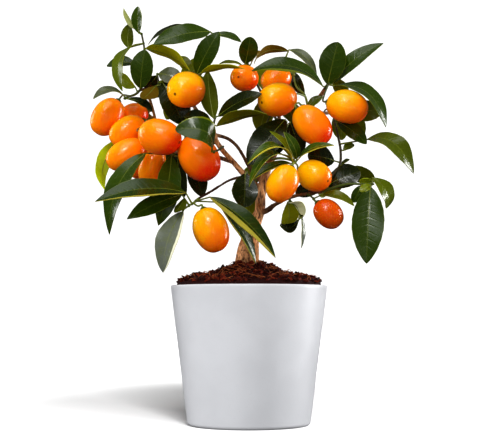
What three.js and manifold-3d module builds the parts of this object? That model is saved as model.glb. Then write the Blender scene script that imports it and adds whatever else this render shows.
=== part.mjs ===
// A nagami kumquat trained as a small tree, in a plain tapered pot.
// Millimetres, +Z up, +X to the right and +Y away from the viewer; the origin is the centre of the
// pot's underside.

import * as THREE from 'three';
import { mergeVertices } from 'three/addons/utils/BufferGeometryUtils.js';
import Module from 'manifold-3d';

// Driving dimensions: pot and soil
const RIM_RADIUS = 60.3;
const POT_HEIGHT = 106.6;
const BASE_RADIUS = 47;
const POT_WALL = 3.6;
const POT_FLOOR = 5;
const POT_SIDES = 32;
const BASE_ROUNDING = 3.5;
const RIM_ROUNDING = 1.2;
const SOIL_EDGE_HEIGHT = 108.5;
const SOIL_MOUND = 12.5;
const SOIL_CRUMB = 1.6;

// Driving dimensions: clearances and blades
const GAP = 0.3;
const BLADE = 0.6;
const PETIOLE = 1.3;
const LEAF_FOLD = 0.16;
const BASE_POWER = 0.8;
const TIP_POWER = 1.2;
const TIP_FALL = 1.8;
const BLUNT_TIP = 0.6;
const SHARP_TIP = 0.95;
const LONG_LEAF = 44;
const SHORT_LEAF = 20;
const ROOT_REACH = 3.2;
const STALK_RADIUS = 0.75;
const CALYX_RADIUS = 2.7;
const CALYX_HEIGHT = 1.8;
const CALYX_LOBES = 5;
const TWIG_SIDES = 4;
const FRUIT_SIDES = 8;
const FRUIT_RINGS = 6;
const DIMPLE = 0.5;

// How close a settled blade may come to another shoot's blades, to fruit and to wood
const BLADE_CLEARANCE = 3;
const FRUIT_CLEARANCE = 1.2;
const WOOD_CLEARANCE = 1.2;
const SWING_STEP = 5;
const SWING_LIMIT = 50;

// The plant is laid out on a front drawing: x to the right and z up, as an eye in front of the tree
// sees them on the trunk's plane, and a depth away from the eye. The eye looks slightly up, at the
// drawing's centre.
const EYE = new THREE.Vector3(0.8, -950, 86);
const AIM_HEIGHT = 155.3;
const DRAWING_CENTRE = new THREE.Vector2(0.8, 158.3);

const wasm = await Module();
wasm.setup();

/** The real place of a point of the front drawing. */
function at([x, z, depth = 0]) {
  const slope = (AIM_HEIGHT - EYE.z) / -EYE.y;
  const tilt = Math.atan(slope);
  const aside = x - DRAWING_CENTRE.x;
  const above = z - DRAWING_CENTRE.y;
  const ahead = -EYE.y - above * Math.sin(tilt);
  const reach = (depth - EYE.y) / ahead;
  const rise = (AIM_HEIGHT - EYE.z + above * Math.cos(tilt)) * reach;
  return new THREE.Vector3(EYE.x + aside * reach, depth, EYE.z + rise);
}

/** The real size of what measures so much on the drawing, at a depth. */
function sized(size, depth) {
  return size * (depth - EYE.y) / -EYE.y;
}

/** A repeatable draw from 0 to 1 for each whole number. */
function chance(n) {
  const v = Math.sin(n * 12.9898 + 4.1) * 43758.5453;
  return v - Math.floor(v);
}

/** A closed geometry with shared corners, as a solid that can be joined and cut. */
function solid(geometry) {
  const bare = geometry.clone();
  bare.deleteAttribute('normal');
  bare.deleteAttribute('uv');
  const merged = mergeVertices(bare, 1e-4);
  const corners = merged.index.array;
  const kept = [];
  for (let i = 0; i < corners.length; i += 3) {
    const [a, b, c] = [corners[i], corners[i + 1], corners[i + 2]];
    if (a !== b && b !== c && c !== a) kept.push(a, b, c);
  }
  return new wasm.Manifold(new wasm.Mesh({
    numProp: 3,
    vertProperties: new Float32Array(merged.attributes.position.array),
    triVerts: new Uint32Array(kept),
  }));
}

/** All solids of a list joined into one. */
function join(solids) {
  return solids.reduce((whole, next) => whole.add(next));
}

/** A named mesh from a solid. */
function node(name, shape, colour, roughness) {
  const { vertProperties, triVerts } = shape.getMesh();
  const geometry = new THREE.BufferGeometry();
  geometry.setAttribute('position', new THREE.BufferAttribute(new Float32Array(vertProperties), 3));
  geometry.setIndex(new THREE.BufferAttribute(new Uint32Array(triVerts), 1));
  geometry.computeVertexNormals();
  const material = new THREE.MeshStandardMaterial({ color: colour, roughness, metalness: 0 });
  const mesh = new THREE.Mesh(geometry, material);
  mesh.name = name;
  return mesh;
}

/** A skin over rings of equal count, closed at both ends by a fan. */
function loft(rings) {
  const sides = rings[0].length;
  const points = rings.flat();
  const faces = [];
  for (let r = 0; r + 1 < rings.length; r += 1) {
    for (let s = 0; s < sides; s += 1) {
      const a = r * sides + s;
      const b = r * sides + (s + 1) % sides;
      faces.push(a, b, b + sides, a, b + sides, a + sides);
    }
  }
  const last = (rings.length - 1) * sides;
  for (let s = 1; s + 1 < sides; s += 1) {
    faces.push(0, s + 1, s, last, last + s, last + s + 1);
  }
  const geometry = new THREE.BufferGeometry().setFromPoints(points);
  geometry.setIndex(faces);
  return geometry;
}

/** A limb that tapers along a smooth route; grow widens it all over. */
function limb(route, radii, sides, steps, grow = 0) {
  const curve = new THREE.CatmullRomCurve3(route.map(at));
  const frames = curve.computeFrenetFrames(steps);
  const rings = [];
  for (let i = 0; i <= steps; i += 1) {
    const along = (i / steps) * (radii.length - 1);
    const k = Math.min(Math.floor(along), radii.length - 2);
    const radius = THREE.MathUtils.lerp(radii[k], radii[k + 1], along - k) + grow;
    const centre = curve.getPoint(i / steps);
    if (grow && i === 0) centre.addScaledVector(frames.tangents[0], -grow);
    if (grow && i === steps) centre.addScaledVector(frames.tangents[steps], grow);
    rings.push(Array.from({ length: sides }, (_, s) => {
      const turn = (s / sides) * Math.PI * 2;
      return centre.clone()
        .addScaledVector(frames.normals[i], Math.cos(turn) * radius)
        .addScaledVector(frames.binormals[i], Math.sin(turn) * radius);
    }));
  }
  return loft(rings);
}

// Wood: route on the drawing, radii from root to end, sides, steps.
const WOOD = [
  // trunk, from its foot in the soil to the top of the bare stem
  { route: [[-7, 104], [-5, 114], [-2, 127], [0, 140], [1.5, 148], [4, 157], [8, 168],
      [9.5, 180], [12, 192], [15, 204]],
    radii: [8, 9.5, 9.2, 8.2, 6.6, 5.2, 4.1, 3.9, 3.6, 3.2], sides: 8, steps: 10 },
  // root flares
  { route: [[-3, 130, -2], [-10, 123, -5], [-19, 116, -9], [-26, 108, -12]],
    radii: [6, 4.5, 3, 2], sides: 5, steps: 3 },
  { route: [[0, 131, -2], [5, 123, -7], [9, 116, -12], [13, 107, -16]],
    radii: [6, 4.2, 3, 2], sides: 5, steps: 3 },
  { route: [[-2, 130, 3], [-6, 122, 10], [-9, 116, 16], [-12, 107, 22]],
    radii: [6, 4.2, 3, 2], sides: 5, steps: 3 },
  { route: [[0, 130, 3], [6, 122, 8], [13, 115, 12], [18, 107, 15]],
    radii: [5.5, 4, 3, 2], sides: 5, steps: 3 },
  // left fork to its hub
  { route: [[9, 181], [1, 191, -2], [-6, 198, -4], [-13, 206, -6], [-21, 215, -9],
      [-26, 223, -11], [-28, 231, -12]],
    radii: [3.6, 2.8, 2.2, 2, 2, 2, 2], sides: 6, steps: 6 },
  { route: [[10, 190, 2], [1, 200, 5], [-4, 209, 4], [-9, 217, 0], [-16, 223, -5], [-25, 226, -10]],
    radii: [2.2, 1.6, 1.4, 1.4, 1.4, 1.6], sides: 5, steps: 5 },
  // upper left branch
  { route: [[-27, 228, -12], [-36, 236, -6], [-46, 242, -2], [-60, 251, 2], [-75, 261, 3], [-85, 261, 2]],
    radii: [2, 1.9, 1.8, 1.6, 1.5, 1.3], sides: 6, steps: 6 },
  // right main branch to its hub
  { route: [[14, 200], [20, 212, 4], [30, 226, 8], [38, 236, 10], [46, 246, 9],
      [55, 256, 2], [59, 262, -3]],
    radii: [3.2, 2.6, 2.3, 2.1, 2, 1.8, 1.6], sides: 6, steps: 6 },
  // lower left twig
  { route: [[5, 187, -1], [-5, 193, -7], [-15, 191, -13], [-22, 187, -18],
      [-30, 182, -23], [-39, 177, -29]],
    radii: [1.8, 1.3, 1, 1, 1, 1], sides: 5, steps: 5 },
  // lower right branch
  { route: [[6, 164, 0], [13, 167, -3], [20, 172, -7], [30, 177, -12], [41, 180, -15], [57, 182, -18]],
    radii: [3, 2, 1.6, 1.5, 1.4, 1.3], sides: 5, steps: 5 },
  // branches of the far side
  { route: [[13, 198, 1], [18, 212, 16], [23, 230, 36], [23, 250, 54]],
    radii: [2.6, 2.2, 1.8, 1.4], sides: 5, steps: 3 },
  { route: [[-27, 229, -11], [-36, 238, 10], [-43, 249, 32], [-50, 259, 50]],
    radii: [1.9, 1.8, 1.6, 1.3], sides: 5, steps: 3 },
  { route: [[42, 241, 10], [51, 243, 28], [60, 243, 44], [70, 244, 56]],
    radii: [1.9, 1.7, 1.5, 1.3], sides: 5, steps: 3 },
  { route: [[-12, 205, -6], [-26, 209, 14], [-42, 209, 34], [-64, 215, 48]],
    radii: [1.8, 1.7, 1.5, 1.3], sides: 5, steps: 3 },
  { route: [[11, 189, 1], [24, 193, 20], [42, 194, 38], [64, 194, 50]],
    radii: [2.2, 1.8, 1.5, 1.3], sides: 5, steps: 3 },
  { route: [[8, 176, 1], [3, 180, 18], [-3, 182, 34]], radii: [1.9, 1.5, 1.2], sides: 5, steps: 2 },
];

// Fruits: centre on the drawing, half length, half width, and the direction from the centre to the
// stalk end (right, up, away).
const FRUITS = {
  fruit_01: { place: [-109.5, 240, 17], long: 15.8, wide: 12, up: [0.54, 0.84, 0.05] },
  fruit_02: { place: [-48.5, 261, -24], long: 16.5, wide: 14.2, up: [0.5, 0.35, 0.8] },
  fruit_03: { place: [-3.5, 270, -10], long: 13, wide: 10.6, up: [0.35, 0.1, 0.9] },
  fruit_04: { place: [21, 269, 14], long: 12.5, wide: 10, up: [0.85, 0.35, 0.2] },
  fruit_05: { place: [22, 253.5, -14], long: 16.5, wide: 13.5, up: [0.75, 0.25, 0.6] },
  fruit_06: { place: [49, 233.5, -24], long: 18, wide: 13.4, up: [-0.64, 0.75, 0.15] },
  fruit_07: { place: [76, 248, -22], long: 16.6, wide: 13.2, up: [-0.95, 0.25, 0.2] },
  fruit_08: { place: [-89, 241, 31], long: 11.5, wide: 9.5, up: [0.9, 0.3, 0.25] },
  fruit_09: { place: [-94, 229, 2], long: 15.6, wide: 11, up: [0.82, 0.55, 0.15] },
  fruit_10: { place: [-95, 211, -13], long: 17, wide: 11.4, up: [0.86, 0.5, 0.15] },
  fruit_11: { place: [-69, 224.5, -34], long: 17.8, wide: 14, up: [-0.9, 0.3, 0.35] },
  fruit_12: { place: [-38.5, 208.2, -30], long: 19.3, wide: 15.6, up: [-0.53, 0.83, 0.15] },
  fruit_13: { place: [11, 217, 72], long: 12, wide: 10, up: [0.1, 0.9, -0.4] },
  fruit_14: { place: [-82, 203, 22], long: 13, wide: 8, up: [0.7, 0.7, 0.1] },
  fruit_15: { place: [-75, 202, 7], long: 15, wide: 9.4, up: [0.42, 0.9, 0.05] },
  fruit_16: { place: [-29.5, 152.5, -40], long: 18, wide: 13.6, up: [-0.34, 0.93, 0.05] },
  fruit_17: { place: [26, 188.5, -45], long: 15.6, wide: 12, up: [0.47, 0.87, 0.15] },
  fruit_18: { place: [50.5, 194.5, -29], long: 14.5, wide: 12.2, up: [-0.7, 0.35, 0.6] },
  fruit_19: { place: [61.5, 165, -30], long: 12.8, wide: 10.6, up: [-0.7, 0.7, 0.1] },
  fruit_20: { place: [-48.5, 262, 84], long: 12.5, wide: 12, up: [-0.1, 0.6, -0.8] },
  fruit_21: { place: [49.5, 232.5, 72], long: 13.5, wide: 11.8, up: [0.45, 0.5, -0.74] },
  fruit_22: { place: [-84, 222, 80], long: 15.5, wide: 12, up: [0.7, 0.5, -0.5] },
  fruit_23: { place: [50.5, 194.5, 70], long: 12.5, wide: 11, up: [0.3, 0.3, -0.9] },
};

// Shoots: a twig's route that starts in the wood, its radius, its leaves, and the fruits it carries.
// A leaf is base, tip, width, roll, arch. Roll 0 turns the upper side to the eye, a plus roll turns
// it to the left of the way from base to tip, and past 90 degrees the underside shows.
const SHOOTS = {
  shoot_top_left: { colour: 0x3f6a1c, radius: 1.1,
    twig: [[-84, 261, 2], [-83.5, 268, 1], [-82.5, 278, 0], [-81, 292, 0], [-83, 304, 0]],
    leaves: [
      [[-85.5, 305, 0], [-86, 325.5, -4], 11, 42, 1],
      [[-86, 307, 1], [-97, 324, 6], 7, 125, 2],
      [[-93.5, 293.5, 4], [-92.5, 312, 12], 11, 155, 2],
      [[-88, 296, -3], [-98, 260, -16], 15, -58, 10],
      [[-88, 281, 4], [-110, 279.5, 14], 12, -50, 3],
      [[-84, 262, -4], [-80.5, 292, -16], 18, 12, 3],
      [[-80, 293, -2], [-46, 276, -20], 19, 116, 4],
    ], fruits: {} },
  shoot_far_left: { colour: 0x3f6a1c, radius: 1.1,
    twig: [[-84, 261, 2], [-88, 257.5, -1], [-92, 256, -3], [-97, 254, -5]],
    leaves: [
      [[-88, 263, 0], [-101, 273, 8], 11, 40, 1],
      [[-97, 257, -5], [-120.5, 254, -22], 11, -64, 6],
      [[-94, 254, -6], [-75, 244, -10], 12, 62, 3],
    ], fruits: { fruit_01: [[-97, 257, 8]] } },
  shoot_left_fruit: { colour: 0x8a6a2a, radius: 1.2,
    twig: [[-80, 261, 3], [-77, 254, 0], [-74.5, 246, -4], [-72.5, 238, -2], [-71, 228, 2],
      [-66, 220, 4], [-62, 214, -2], [-60, 211, -10]],
    leaves: [
      [[-80, 212, -27], [-108, 149, -34], 20, -40, 14],
      [[-60, 210, -22], [-70, 156, -28], 20, 18, 5],
      [[-55, 209, -18], [-50, 178, -12], 14, -30, 3],
      [[-101, 223, 26], [-112, 184, 12], 15, -140, 9],
    ], fruits: { fruit_08: [[-75, 248, 22]], fruit_09: [[-76, 240, 2]], fruit_10: [[-77, 222, -6]],
      fruit_11: [[-80, 234, -14]], fruit_14: [[-71, 215, 18]], fruit_15: [[-68, 218, 4]] } },
  leaf_front_left: { colour: 0x3c6420, radius: 1.0,
    twig: [[-20, 217, -9], [-21.5, 216, -24], [-23.5, 214.5, -39], [-27, 213, -47]],
    leaves: [[[-29, 213, -49], [-57, 230.5, -66], 23, -42, 16]], fruits: {} },
  shoot_inner_left: { colour: 0x35521c, radius: 1.1,
    twig: [[-28, 231, -12], [-27, 236, -14], [-26, 240, -13]],
    leaves: [
      [[-27.5, 239, -12], [-32, 276, -6], 15, 155, 2],
      [[-24, 240.5, -12], [10, 258, -26], 17, 48, 3],
      [[-25, 233, -14], [14, 242, -34], 16, 120, 4],
      [[-29, 236, -14], [-50, 240, -26], 13, -40, 3],
    ], fruits: { } },
  shoot_upper_mid: { colour: 0x35521c, radius: 1.2,
    twig: [[-46, 242, -2], [-46, 254, 6], [-41, 270, 5], [-35, 288, 6], [-28, 304, 4]],
    leaves: [
      [[-40.5, 273, 2], [-23, 306, -10], 17, 20, 3],
      [[-36, 276, 8], [-26, 295, 16], 12, 30, 2],
      [[-37, 274, -12], [-3, 277, -34], 12, 112, 3],
      [[-46, 274, 8], [-53, 287, 14], 10, -20, 1],
      [[-30, 306, 3], [-74, 296, -10], 19, -42, 4],
      [[-42, 307, 8], [-78, 296, 16], 13, -72, 6.8],
      [[-26, 304, 4], [-6, 298, 4], 10, 60, 2],
    ], fruits: { fruit_02: [[-42, 266, 2]] } },
  shoot_left_dark: { colour: 0x2c4416, radius: 1.0,
    twig: [[-68, 256, 3], [-69, 261, 0], [-70, 267, -2], [-71, 273, -2]],
    leaves: [
      [[-67, 267, -4], [-51, 234, -16], 21, 15, 3],
      [[-70, 273.5, -2], [-53, 269, -6], 14, 25, 2],
      [[-71, 272, 0], [-80, 262, 6], 12, 15, 1],
      [[-72, 264, -4], [-82, 254, -20], 13, 150, 1],
    ], fruits: {} },
  shoot_low_mid_left: { colour: 0x2c4416, radius: 0.9,
    twig: [[-24, 219, -10], [-29, 220, -2], [-34, 219, 2], [-40, 212, 4]],
    leaves: [
      [[-44, 206, 4], [-36, 178, -4], 15, 5, 2],
      [[-46, 214, 4], [-58, 196, 8], 14, -20, 3],
    ], fruits: { fruit_12: [[-50, 231, -16]] } },
  shoot_centre_top: { colour: 0x35521c, radius: 1.2,
    twig: [[30, 226, 8], [20, 240, 22], [10, 258, 26], [3, 272, 20], [-1, 281, 14]],
    leaves: [
      [[-3, 281, 12], [1, 302, 4], 15, -15, 1],
      [[1, 280, 14], [9, 291, 20], 8, 100, 1],
      [[-5, 280, 12], [-23, 281, 6], 7, -70, 2],
    ], fruits: { fruit_03: [[2, 272, 12]] } },
  shoot_over_right: { colour: 0x7d9a3a, radius: 1.0,
    twig: [[46, 246, 9], [43, 257, 12], [37, 263, 15], [33.5, 274, 17], [28, 285, 15]],
    leaves: [
      [[30.5, 291, 14], [4, 281, 8], 10, -122, 7.3],
      [[31, 292, 14], [52.5, 272, 4], 9, 42, 6.4],
      [[43, 256, 14], [34, 275, 22], 9, 20, 2],
    ],
    fruits: { fruit_04: [[35, 272, 16]], fruit_05: [[37, 258, 2]] } },
  shoot_right_hub: { colour: 0x3f6a1c, radius: 1.3,
    twig: [[59, 262, -3], [60, 264, -7], [62, 266, -12]],
    leaves: [
      [[57.5, 263.5, -6], [2, 275.5, -18], 21, -60, 11.5],
      [[61, 265, -8], [69, 298, -20], 21, 10, 2],
      [[65, 266, -6], [104, 297, -14], 15, 40, 6],
      [[66, 264, -8], [106, 232, -22], 20, 60, 13.5],
    ], fruits: { fruit_07: [[58, 256, -14]] } },
  stalk_right_front: { colour: 0x7d9a3a, radius: 0.9,
    twig: [[46, 246, 9], [43, 248.5, 0], [40, 249.5, -8]],
    leaves: [[[45, 248, -2], [57, 256, -4], 7, 30, 1]],
    fruits: { fruit_06: [[38, 251, -16]] } },
  shoot_right: { colour: 0x2f4a18, radius: 1.3,
    twig: [[52, 181.5, -17], [60, 190, -14], [70, 202, -8], [71, 213, -6], [69, 225, -5], [66, 237, -4]],
    leaves: [
      [[76, 240, -3], [103, 246, 0], 17, 20, 3],
      [[69, 236, -5], [91, 219, -14], 14, 30, 3],
      [[70, 233, -6], [79, 227, -12], 8, 140, 1],
      [[91, 222.5, -8], [127.5, 196.2, -26], 19, 43, 14.5],
      [[73, 214, -6], [81, 219, -2], 7, 40, 1],
      [[66, 206, -8], [45.5, 210, -14], 19, -30, 2],
      [[60, 187, -8], [86, 198, -10], 19, 20, 2],
      [[71, 202, -10], [78, 207, -18], 5, 60, 1],
    ], fruits: {} },
  shoot_new_leaves: { colour: 0x79a02c, radius: 1.1,
    twig: [[17, 207, 2], [24, 208, -10], [31, 207, -20], [36, 205, -26]],
    leaves: [
      [[35, 206, -26], [0, 186, -48], 12, -60, 15.5],
      [[34, 205, -28], [-1, 203.5, -52], 12, -68, 14.5],
      [[33, 204, -26], [4, 192, -40], 9, -52, 5],
      [[35, 208, -26], [16, 229, -38], 8, -55, 3],
      [[37, 207, -26], [27, 228.5, -40], 9, -30, 4.5],
      [[38, 207, -26], [66, 218, -46], 10, 58, 5],
    ], fruits: { fruit_17: [[35, 204, -36]], fruit_18: [[37.5, 202.5, -18]] } },
  leaf_behind_new: { colour: 0x24380f, radius: 0.9,
    twig: [[30, 226, 8], [29, 231, 2], [29, 236, -4]],
    leaves: [
      [[28, 238, -6], [0, 203, -16], 24, -18, 3],
      [[30, 233, -1], [14, 209.5, -4], 15, 5, 1],
      [[32, 236, 2], [39, 210, 12], 15, 10, 3],
    ], fruits: {} },
  shoot_trunk_mid: { colour: 0x24380f, radius: 0.9,
    twig: [[1, 191, -2], [-1, 195, -6], [-2, 197, -10]],
    leaves: [[[-3, 196, -12], [-4, 170, -22], 20, 8, 2]], fruits: {} },
  shoot_low_left: { colour: 0x5d8426, radius: 0.95,
    twig: [[-39, 177, -29], [-43, 173.5, -31], [-47, 171, -32], [-51, 168, -33]],
    leaves: [
      [[-49, 181.5, -34], [-119, 174.5, -62], 22, -50, 8],
      [[-52, 180, -30], [-94.5, 161, -40], 16, -30, 3],
      [[-50, 177, -32], [-57, 166, -44], 9, 140, 1],
      [[-51, 167, -34], [-66.5, 119.5, -40], 20, -35, 7.5],
      [[-30, 178, -38], [20.5, 131, -50], 18, 45, 7],
      [[-24, 174, -31], [5, 127, -26], 15, 52, 5],
    ], fruits: { fruit_16: [[-39, 171, -38]] } },
  shoot_under_right: { colour: 0x5f7a2e, radius: 0.9,
    twig: [[30, 177, -12], [32, 175, -14], [38, 166, -15], [41, 163, -16]],
    leaves: [
      [[30, 174, -15], [29, 157.5, -24], 15, 150, 4],
      [[31.5, 173.5, -19], [40, 161, -10], 13, 145, 5],
      [[38.5, 160.5, -18], [24, 156, -26], 12, -40, -6],
      [[41, 162, -15], [40.5, 138.5, -12], 8, 68, 1],
    ], fruits: {} },
  stalk_low_right: { colour: 0x4a6a20, radius: 0.9,
    twig: [[45, 180.5, -16], [48, 178.5, -20], [50, 176.5, -25]],
    leaves: [[[56, 179.5, -24], [81.5, 171, -30], 10, 50, 5]],
    fruits: { fruit_19: [[51, 175.5, -27]] } },
  shoot_far_right: { colour: 0x3f6a1c, radius: 1.1,
    twig: [[57, 182, -18], [63, 184.5, -18], [76, 188, -16], [88, 188, -17], [97, 188, -18]],
    leaves: [
      [[94, 186, -20], [91, 126.5, -30], 25, -5, 4],
      [[95.5, 193, -18], [106.6, 169.4, -10], 14, 40, 8.5],
      [[95, 190.5, -16], [85.5, 189.5, -12], 8, 30, 1],
      [[95, 187, -18], [86, 182.5, -20], 7, -30, 1],
      [[58, 186, -12], [36, 181, -4], 13, -20, 2],
      [[87, 187, -18], [80, 174, -24], 9, 20, 1],
    ], fruits: {} },
  shoot_back_centre: { colour: 0x35521c, radius: 1.1,
    twig: [[23, 250, 54], [23, 255, 58], [21, 259, 64]],
    leaves: [
      [[25, 257, 58], [38, 271, 72], 13, 150, 4],
      [[18, 257, 62], [4, 277, 72], 15, -150, 4],
      [[24, 252, 60], [38, 232, 84], 17, 150, 4],
      [[18, 254, 64], [8, 228, 88], 18, -160, 5],
    ], fruits: { fruit_13: [[14, 236, 66]] } },
  shoot_back_left: { colour: 0x35521c, radius: 1.1,
    twig: [[-50, 259, 50], [-53, 263, 55], [-55, 266, 58]],
    leaves: [
      [[-52, 264, 56], [-32, 286, 66], 16, 160, 4],
      [[-57, 266, 56], [-63, 277, 42], 11, -160, 3],
      [[-55, 263, 58], [-64, 238, 82], 18, 170, 6],
      [[-52, 263, 57], [-31, 263, 64], 15, 150, 5],
      [[-57, 264, 56], [-74, 255, 76], 15, -150, 4],
    ], fruits: { fruit_20: [[-50, 269, 64]] } },
  shoot_back_right: { colour: 0x35521c, radius: 1.1,
    twig: [[70, 244, 56], [73, 246, 60], [75, 249, 63]],
    leaves: [
      [[77, 248, 62], [97, 242, 78], 15, 150, 4],
      [[74, 250, 61], [67, 270, 40], 12, -160, 3],
      [[76, 245, 64], [86, 222, 80], 16, 160, 4],
      [[72, 245, 62], [72, 222, 84], 14, -165, 4],
    ], fruits: { fruit_21: [[60, 246, 64]] } },
  shoot_back_low_left: { colour: 0x35521c, radius: 1.1,
    twig: [[-64, 215, 48], [-67, 218, 53], [-70, 220, 56]],
    leaves: [
      [[-73, 222, 56], [-100, 230, 66], 16, -150, 4],
      [[-70, 217, 58], [-92, 196, 74], 17, -160, 5],
      [[-66, 215, 56], [-64, 182, 70], 18, 165, 5],
      [[-66, 218, 58], [-46, 204, 84], 16, 155, 5],
      [[-71, 223, 55], [-88, 246, 48], 13, -150, 3],
    ], fruits: { fruit_22: [[-70, 228, 62]] } },
  shoot_back_low_right: { colour: 0x35521c, radius: 1.1,
    twig: [[64, 194, 50], [68, 195, 54], [71, 196, 57]],
    leaves: [
      [[73, 196, 58], [98, 190, 68], 15, 150, 4],
      [[70, 193, 57], [59, 182, 72], 13, 165, 3],
      [[67, 192, 56], [54, 180, 80], 14, -160, 4],
    ], fruits: { fruit_23: [[60, 199, 55]] } },
  shoot_back_mid: { colour: 0x35521c, radius: 1.0,
    twig: [[-3, 182, 34], [-5, 183, 38], [-6, 185, 42]],
    leaves: [
      [[-7, 187, 42], [-6, 172, 66], 15, 170, 3],
      [[-5, 182, 42], [2, 158, 52], 15, 160, 4],
      [[-3, 186, 42], [12, 204, 56], 15, 160, 4],
    ], fruits: {} },
};

/** The middle surface of a leaf: a point and its frame for each place from base (0) to tip (1). */
function leafSurface([base, tip, width, roll, arch], swing = 0) {
  const from = at(base);
  const to = at([tip[0], tip[1], tip[2] + swing]);
  const depth = (base[2] + tip[2] + swing) / 2;
  const bend = 4 * sized(arch, depth);
  const chord = to.clone().sub(from);
  const ahead = chord.clone().normalize();
  const middle = from.clone().add(to).multiplyScalar(0.5);
  const toEye = EYE.clone().sub(middle);
  toEye.addScaledVector(ahead, -toEye.dot(ahead)).normalize();
  const left = new THREE.Vector3().crossVectors(toEye, ahead);
  const turn = THREE.MathUtils.degToRad(roll);
  const face = toEye.multiplyScalar(Math.cos(turn)).addScaledVector(left, Math.sin(turn));
  const halfWidth = sized(width / 2, depth);
  const slimness = TIP_POWER - TIP_FALL * halfWidth / chord.length();
  const tipPower = THREE.MathUtils.clamp(slimness, BLUNT_TIP, SHARP_TIP);
  return (t) => {
    const point = from.clone().addScaledVector(chord, t).addScaledVector(face, bend * t * (1 - t));
    const tangent = chord.clone().addScaledVector(face, bend * (1 - 2 * t)).normalize();
    const up = face.clone().addScaledVector(tangent, -face.dot(tangent)).normalize();
    const side = new THREE.Vector3().crossVectors(tangent, up);
    const half = halfWidth * bladeOutline(t, tipPower);
    return { point, tangent, up, side, half };
  };
}

/** The share of its full width that a blade has at a place; a low tip power makes the tip blunt. */
function bladeOutline(t, tipPower) {
  const widest = BASE_POWER / (BASE_POWER + tipPower);
  const shape = (v) => v ** BASE_POWER * (1 - v) ** tipPower;
  return shape(t) / shape(widest);
}

/** The nearest point to a place on a twig's centre line, clear of the wood that it grows from. */
function nearestOn(curve, place) {
  const start = curve.getPoint(0);
  let best = curve.getPoint(1);
  for (let i = 0; i < 40; i += 1) {
    const point = curve.getPoint(i / 40);
    const free = point.distanceTo(start) > ROOT_REACH;
    if (free && point.distanceTo(place) < best.distanceTo(place)) best = point;
  }
  return best;
}

/** A blade with its petiole, as one closed skin. */
function leafSkin(surface, root) {
  const base = surface(0);
  const length = base.point.distanceTo(surface(1).point);
  let stations = [0, 0.48, 1];
  if (length > SHORT_LEAF) stations = [0, 0.25, 0.66, 1];
  if (length > LONG_LEAF) stations = [0, 0.14, 0.42, 0.74, 1];
  const frames = stations.map((t) => {
    const frame = surface(t);
    const half = Math.max(frame.half, t === 0 ? PETIOLE / 2 : BLADE);
    return { ...frame, half, thick: t === 0 ? PETIOLE * 0.9 : BLADE };
  });
  const reach = base.point.clone().sub(root);
  if (reach.length() > 2) {
    const tangent = reach.normalize();
    const up = base.up.clone().addScaledVector(tangent, -base.up.dot(tangent)).normalize();
    const side = new THREE.Vector3().crossVectors(tangent, up);
    frames.unshift({ point: root, up, side, half: PETIOLE / 2, thick: PETIOLE });
  } else {
    const point = base.point.clone().addScaledVector(base.tangent, -1.5);
    frames.unshift({ ...base, point, half: PETIOLE / 2, thick: PETIOLE });
  }
  return loft(frames.map(({ point, up, side, half, thick }) => {
    const rise = half > PETIOLE ? LEAF_FOLD * half : 0;
    const corner = (across, lift) => point.clone()
      .addScaledVector(side, across * half)
      .addScaledVector(up, lift * thick / 2 + Math.abs(across) * rise);
    return [corner(-1, 1), corner(0, 1), corner(1, 1), corner(1, -1), corner(0, -1), corner(-1, -1)];
  }));
}

/** Sample points over a blade, with their place along it. */
function leafSamples(surface) {
  const samples = [];
  for (let i = 1; i <= 13; i += 1) {
    const frame = surface(i / 13.5);
    for (const across of [-1, -0.5, 0, 0.5, 1]) {
      const point = frame.point.clone()
        .addScaledVector(frame.side, across * frame.half)
        .addScaledVector(frame.up, Math.abs(across) * LEAF_FOLD * frame.half);
      samples.push({ point, along: i / 13.5 });
    }
  }
  return samples;
}

/** A fruit's centre, its direction to the stalk end, and its real half length and half width. */
function fruitFrame({ place, long, wide, up }) {
  return {
    centre: at(place),
    axis: new THREE.Vector3(up[0], up[2], up[1]).normalize(),
    long: sized(long, place[2]),
    wide: sized(wide, place[2]),
  };
}

/** How far inside a fruit grown by a clearance a point lies: under 1 is inside. */
function insideFruit(point, fruit, clearance) {
  const { centre, axis, long, wide } = fruitFrame(fruit);
  const offset = point.clone().sub(centre);
  const along = offset.dot(axis);
  const across2 = Math.max(offset.lengthSq() - along * along, 0);
  return (along / (long + clearance)) ** 2 + across2 / (wide + clearance) ** 2;
}

const woodPath = WOOD.map(({ route, radii }) => {
  const curve = new THREE.CatmullRomCurve3(route.map(at));
  return Array.from({ length: 41 }, (_, i) => {
    const along = (i / 40) * (radii.length - 1);
    const k = Math.min(Math.floor(along), radii.length - 2);
    const radius = THREE.MathUtils.lerp(radii[k], radii[k + 1], along - k);
    return { point: curve.getPoint(i / 40), radius };
  });
}).flat();

/** How badly a leaf's samples crowd the fruits, the wood and the leaves that have settled. */
function crowding(samples, shoot, settled) {
  let hits = 0;
  for (const { point, along } of samples) {
    for (const fruit of Object.values(FRUITS)) {
      if (insideFruit(point, fruit, FRUIT_CLEARANCE) < 1) hits += 1;
    }
    for (const { point: knot, radius } of woodPath) {
      if (along > 0.15 && point.distanceTo(knot) < radius + WOOD_CLEARANCE) hits += 1;
    }
    for (const other of settled) {
      const own = other.shoot === shoot;
      const limit = own ? BLADE_CLEARANCE / 2 : BLADE_CLEARANCE;
      if (own && (along < 0.3 || other.along < 0.3)) continue;
      if (point.distanceTo(other.point) < limit) hits += 1;
    }
  }
  return hits;
}

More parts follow.
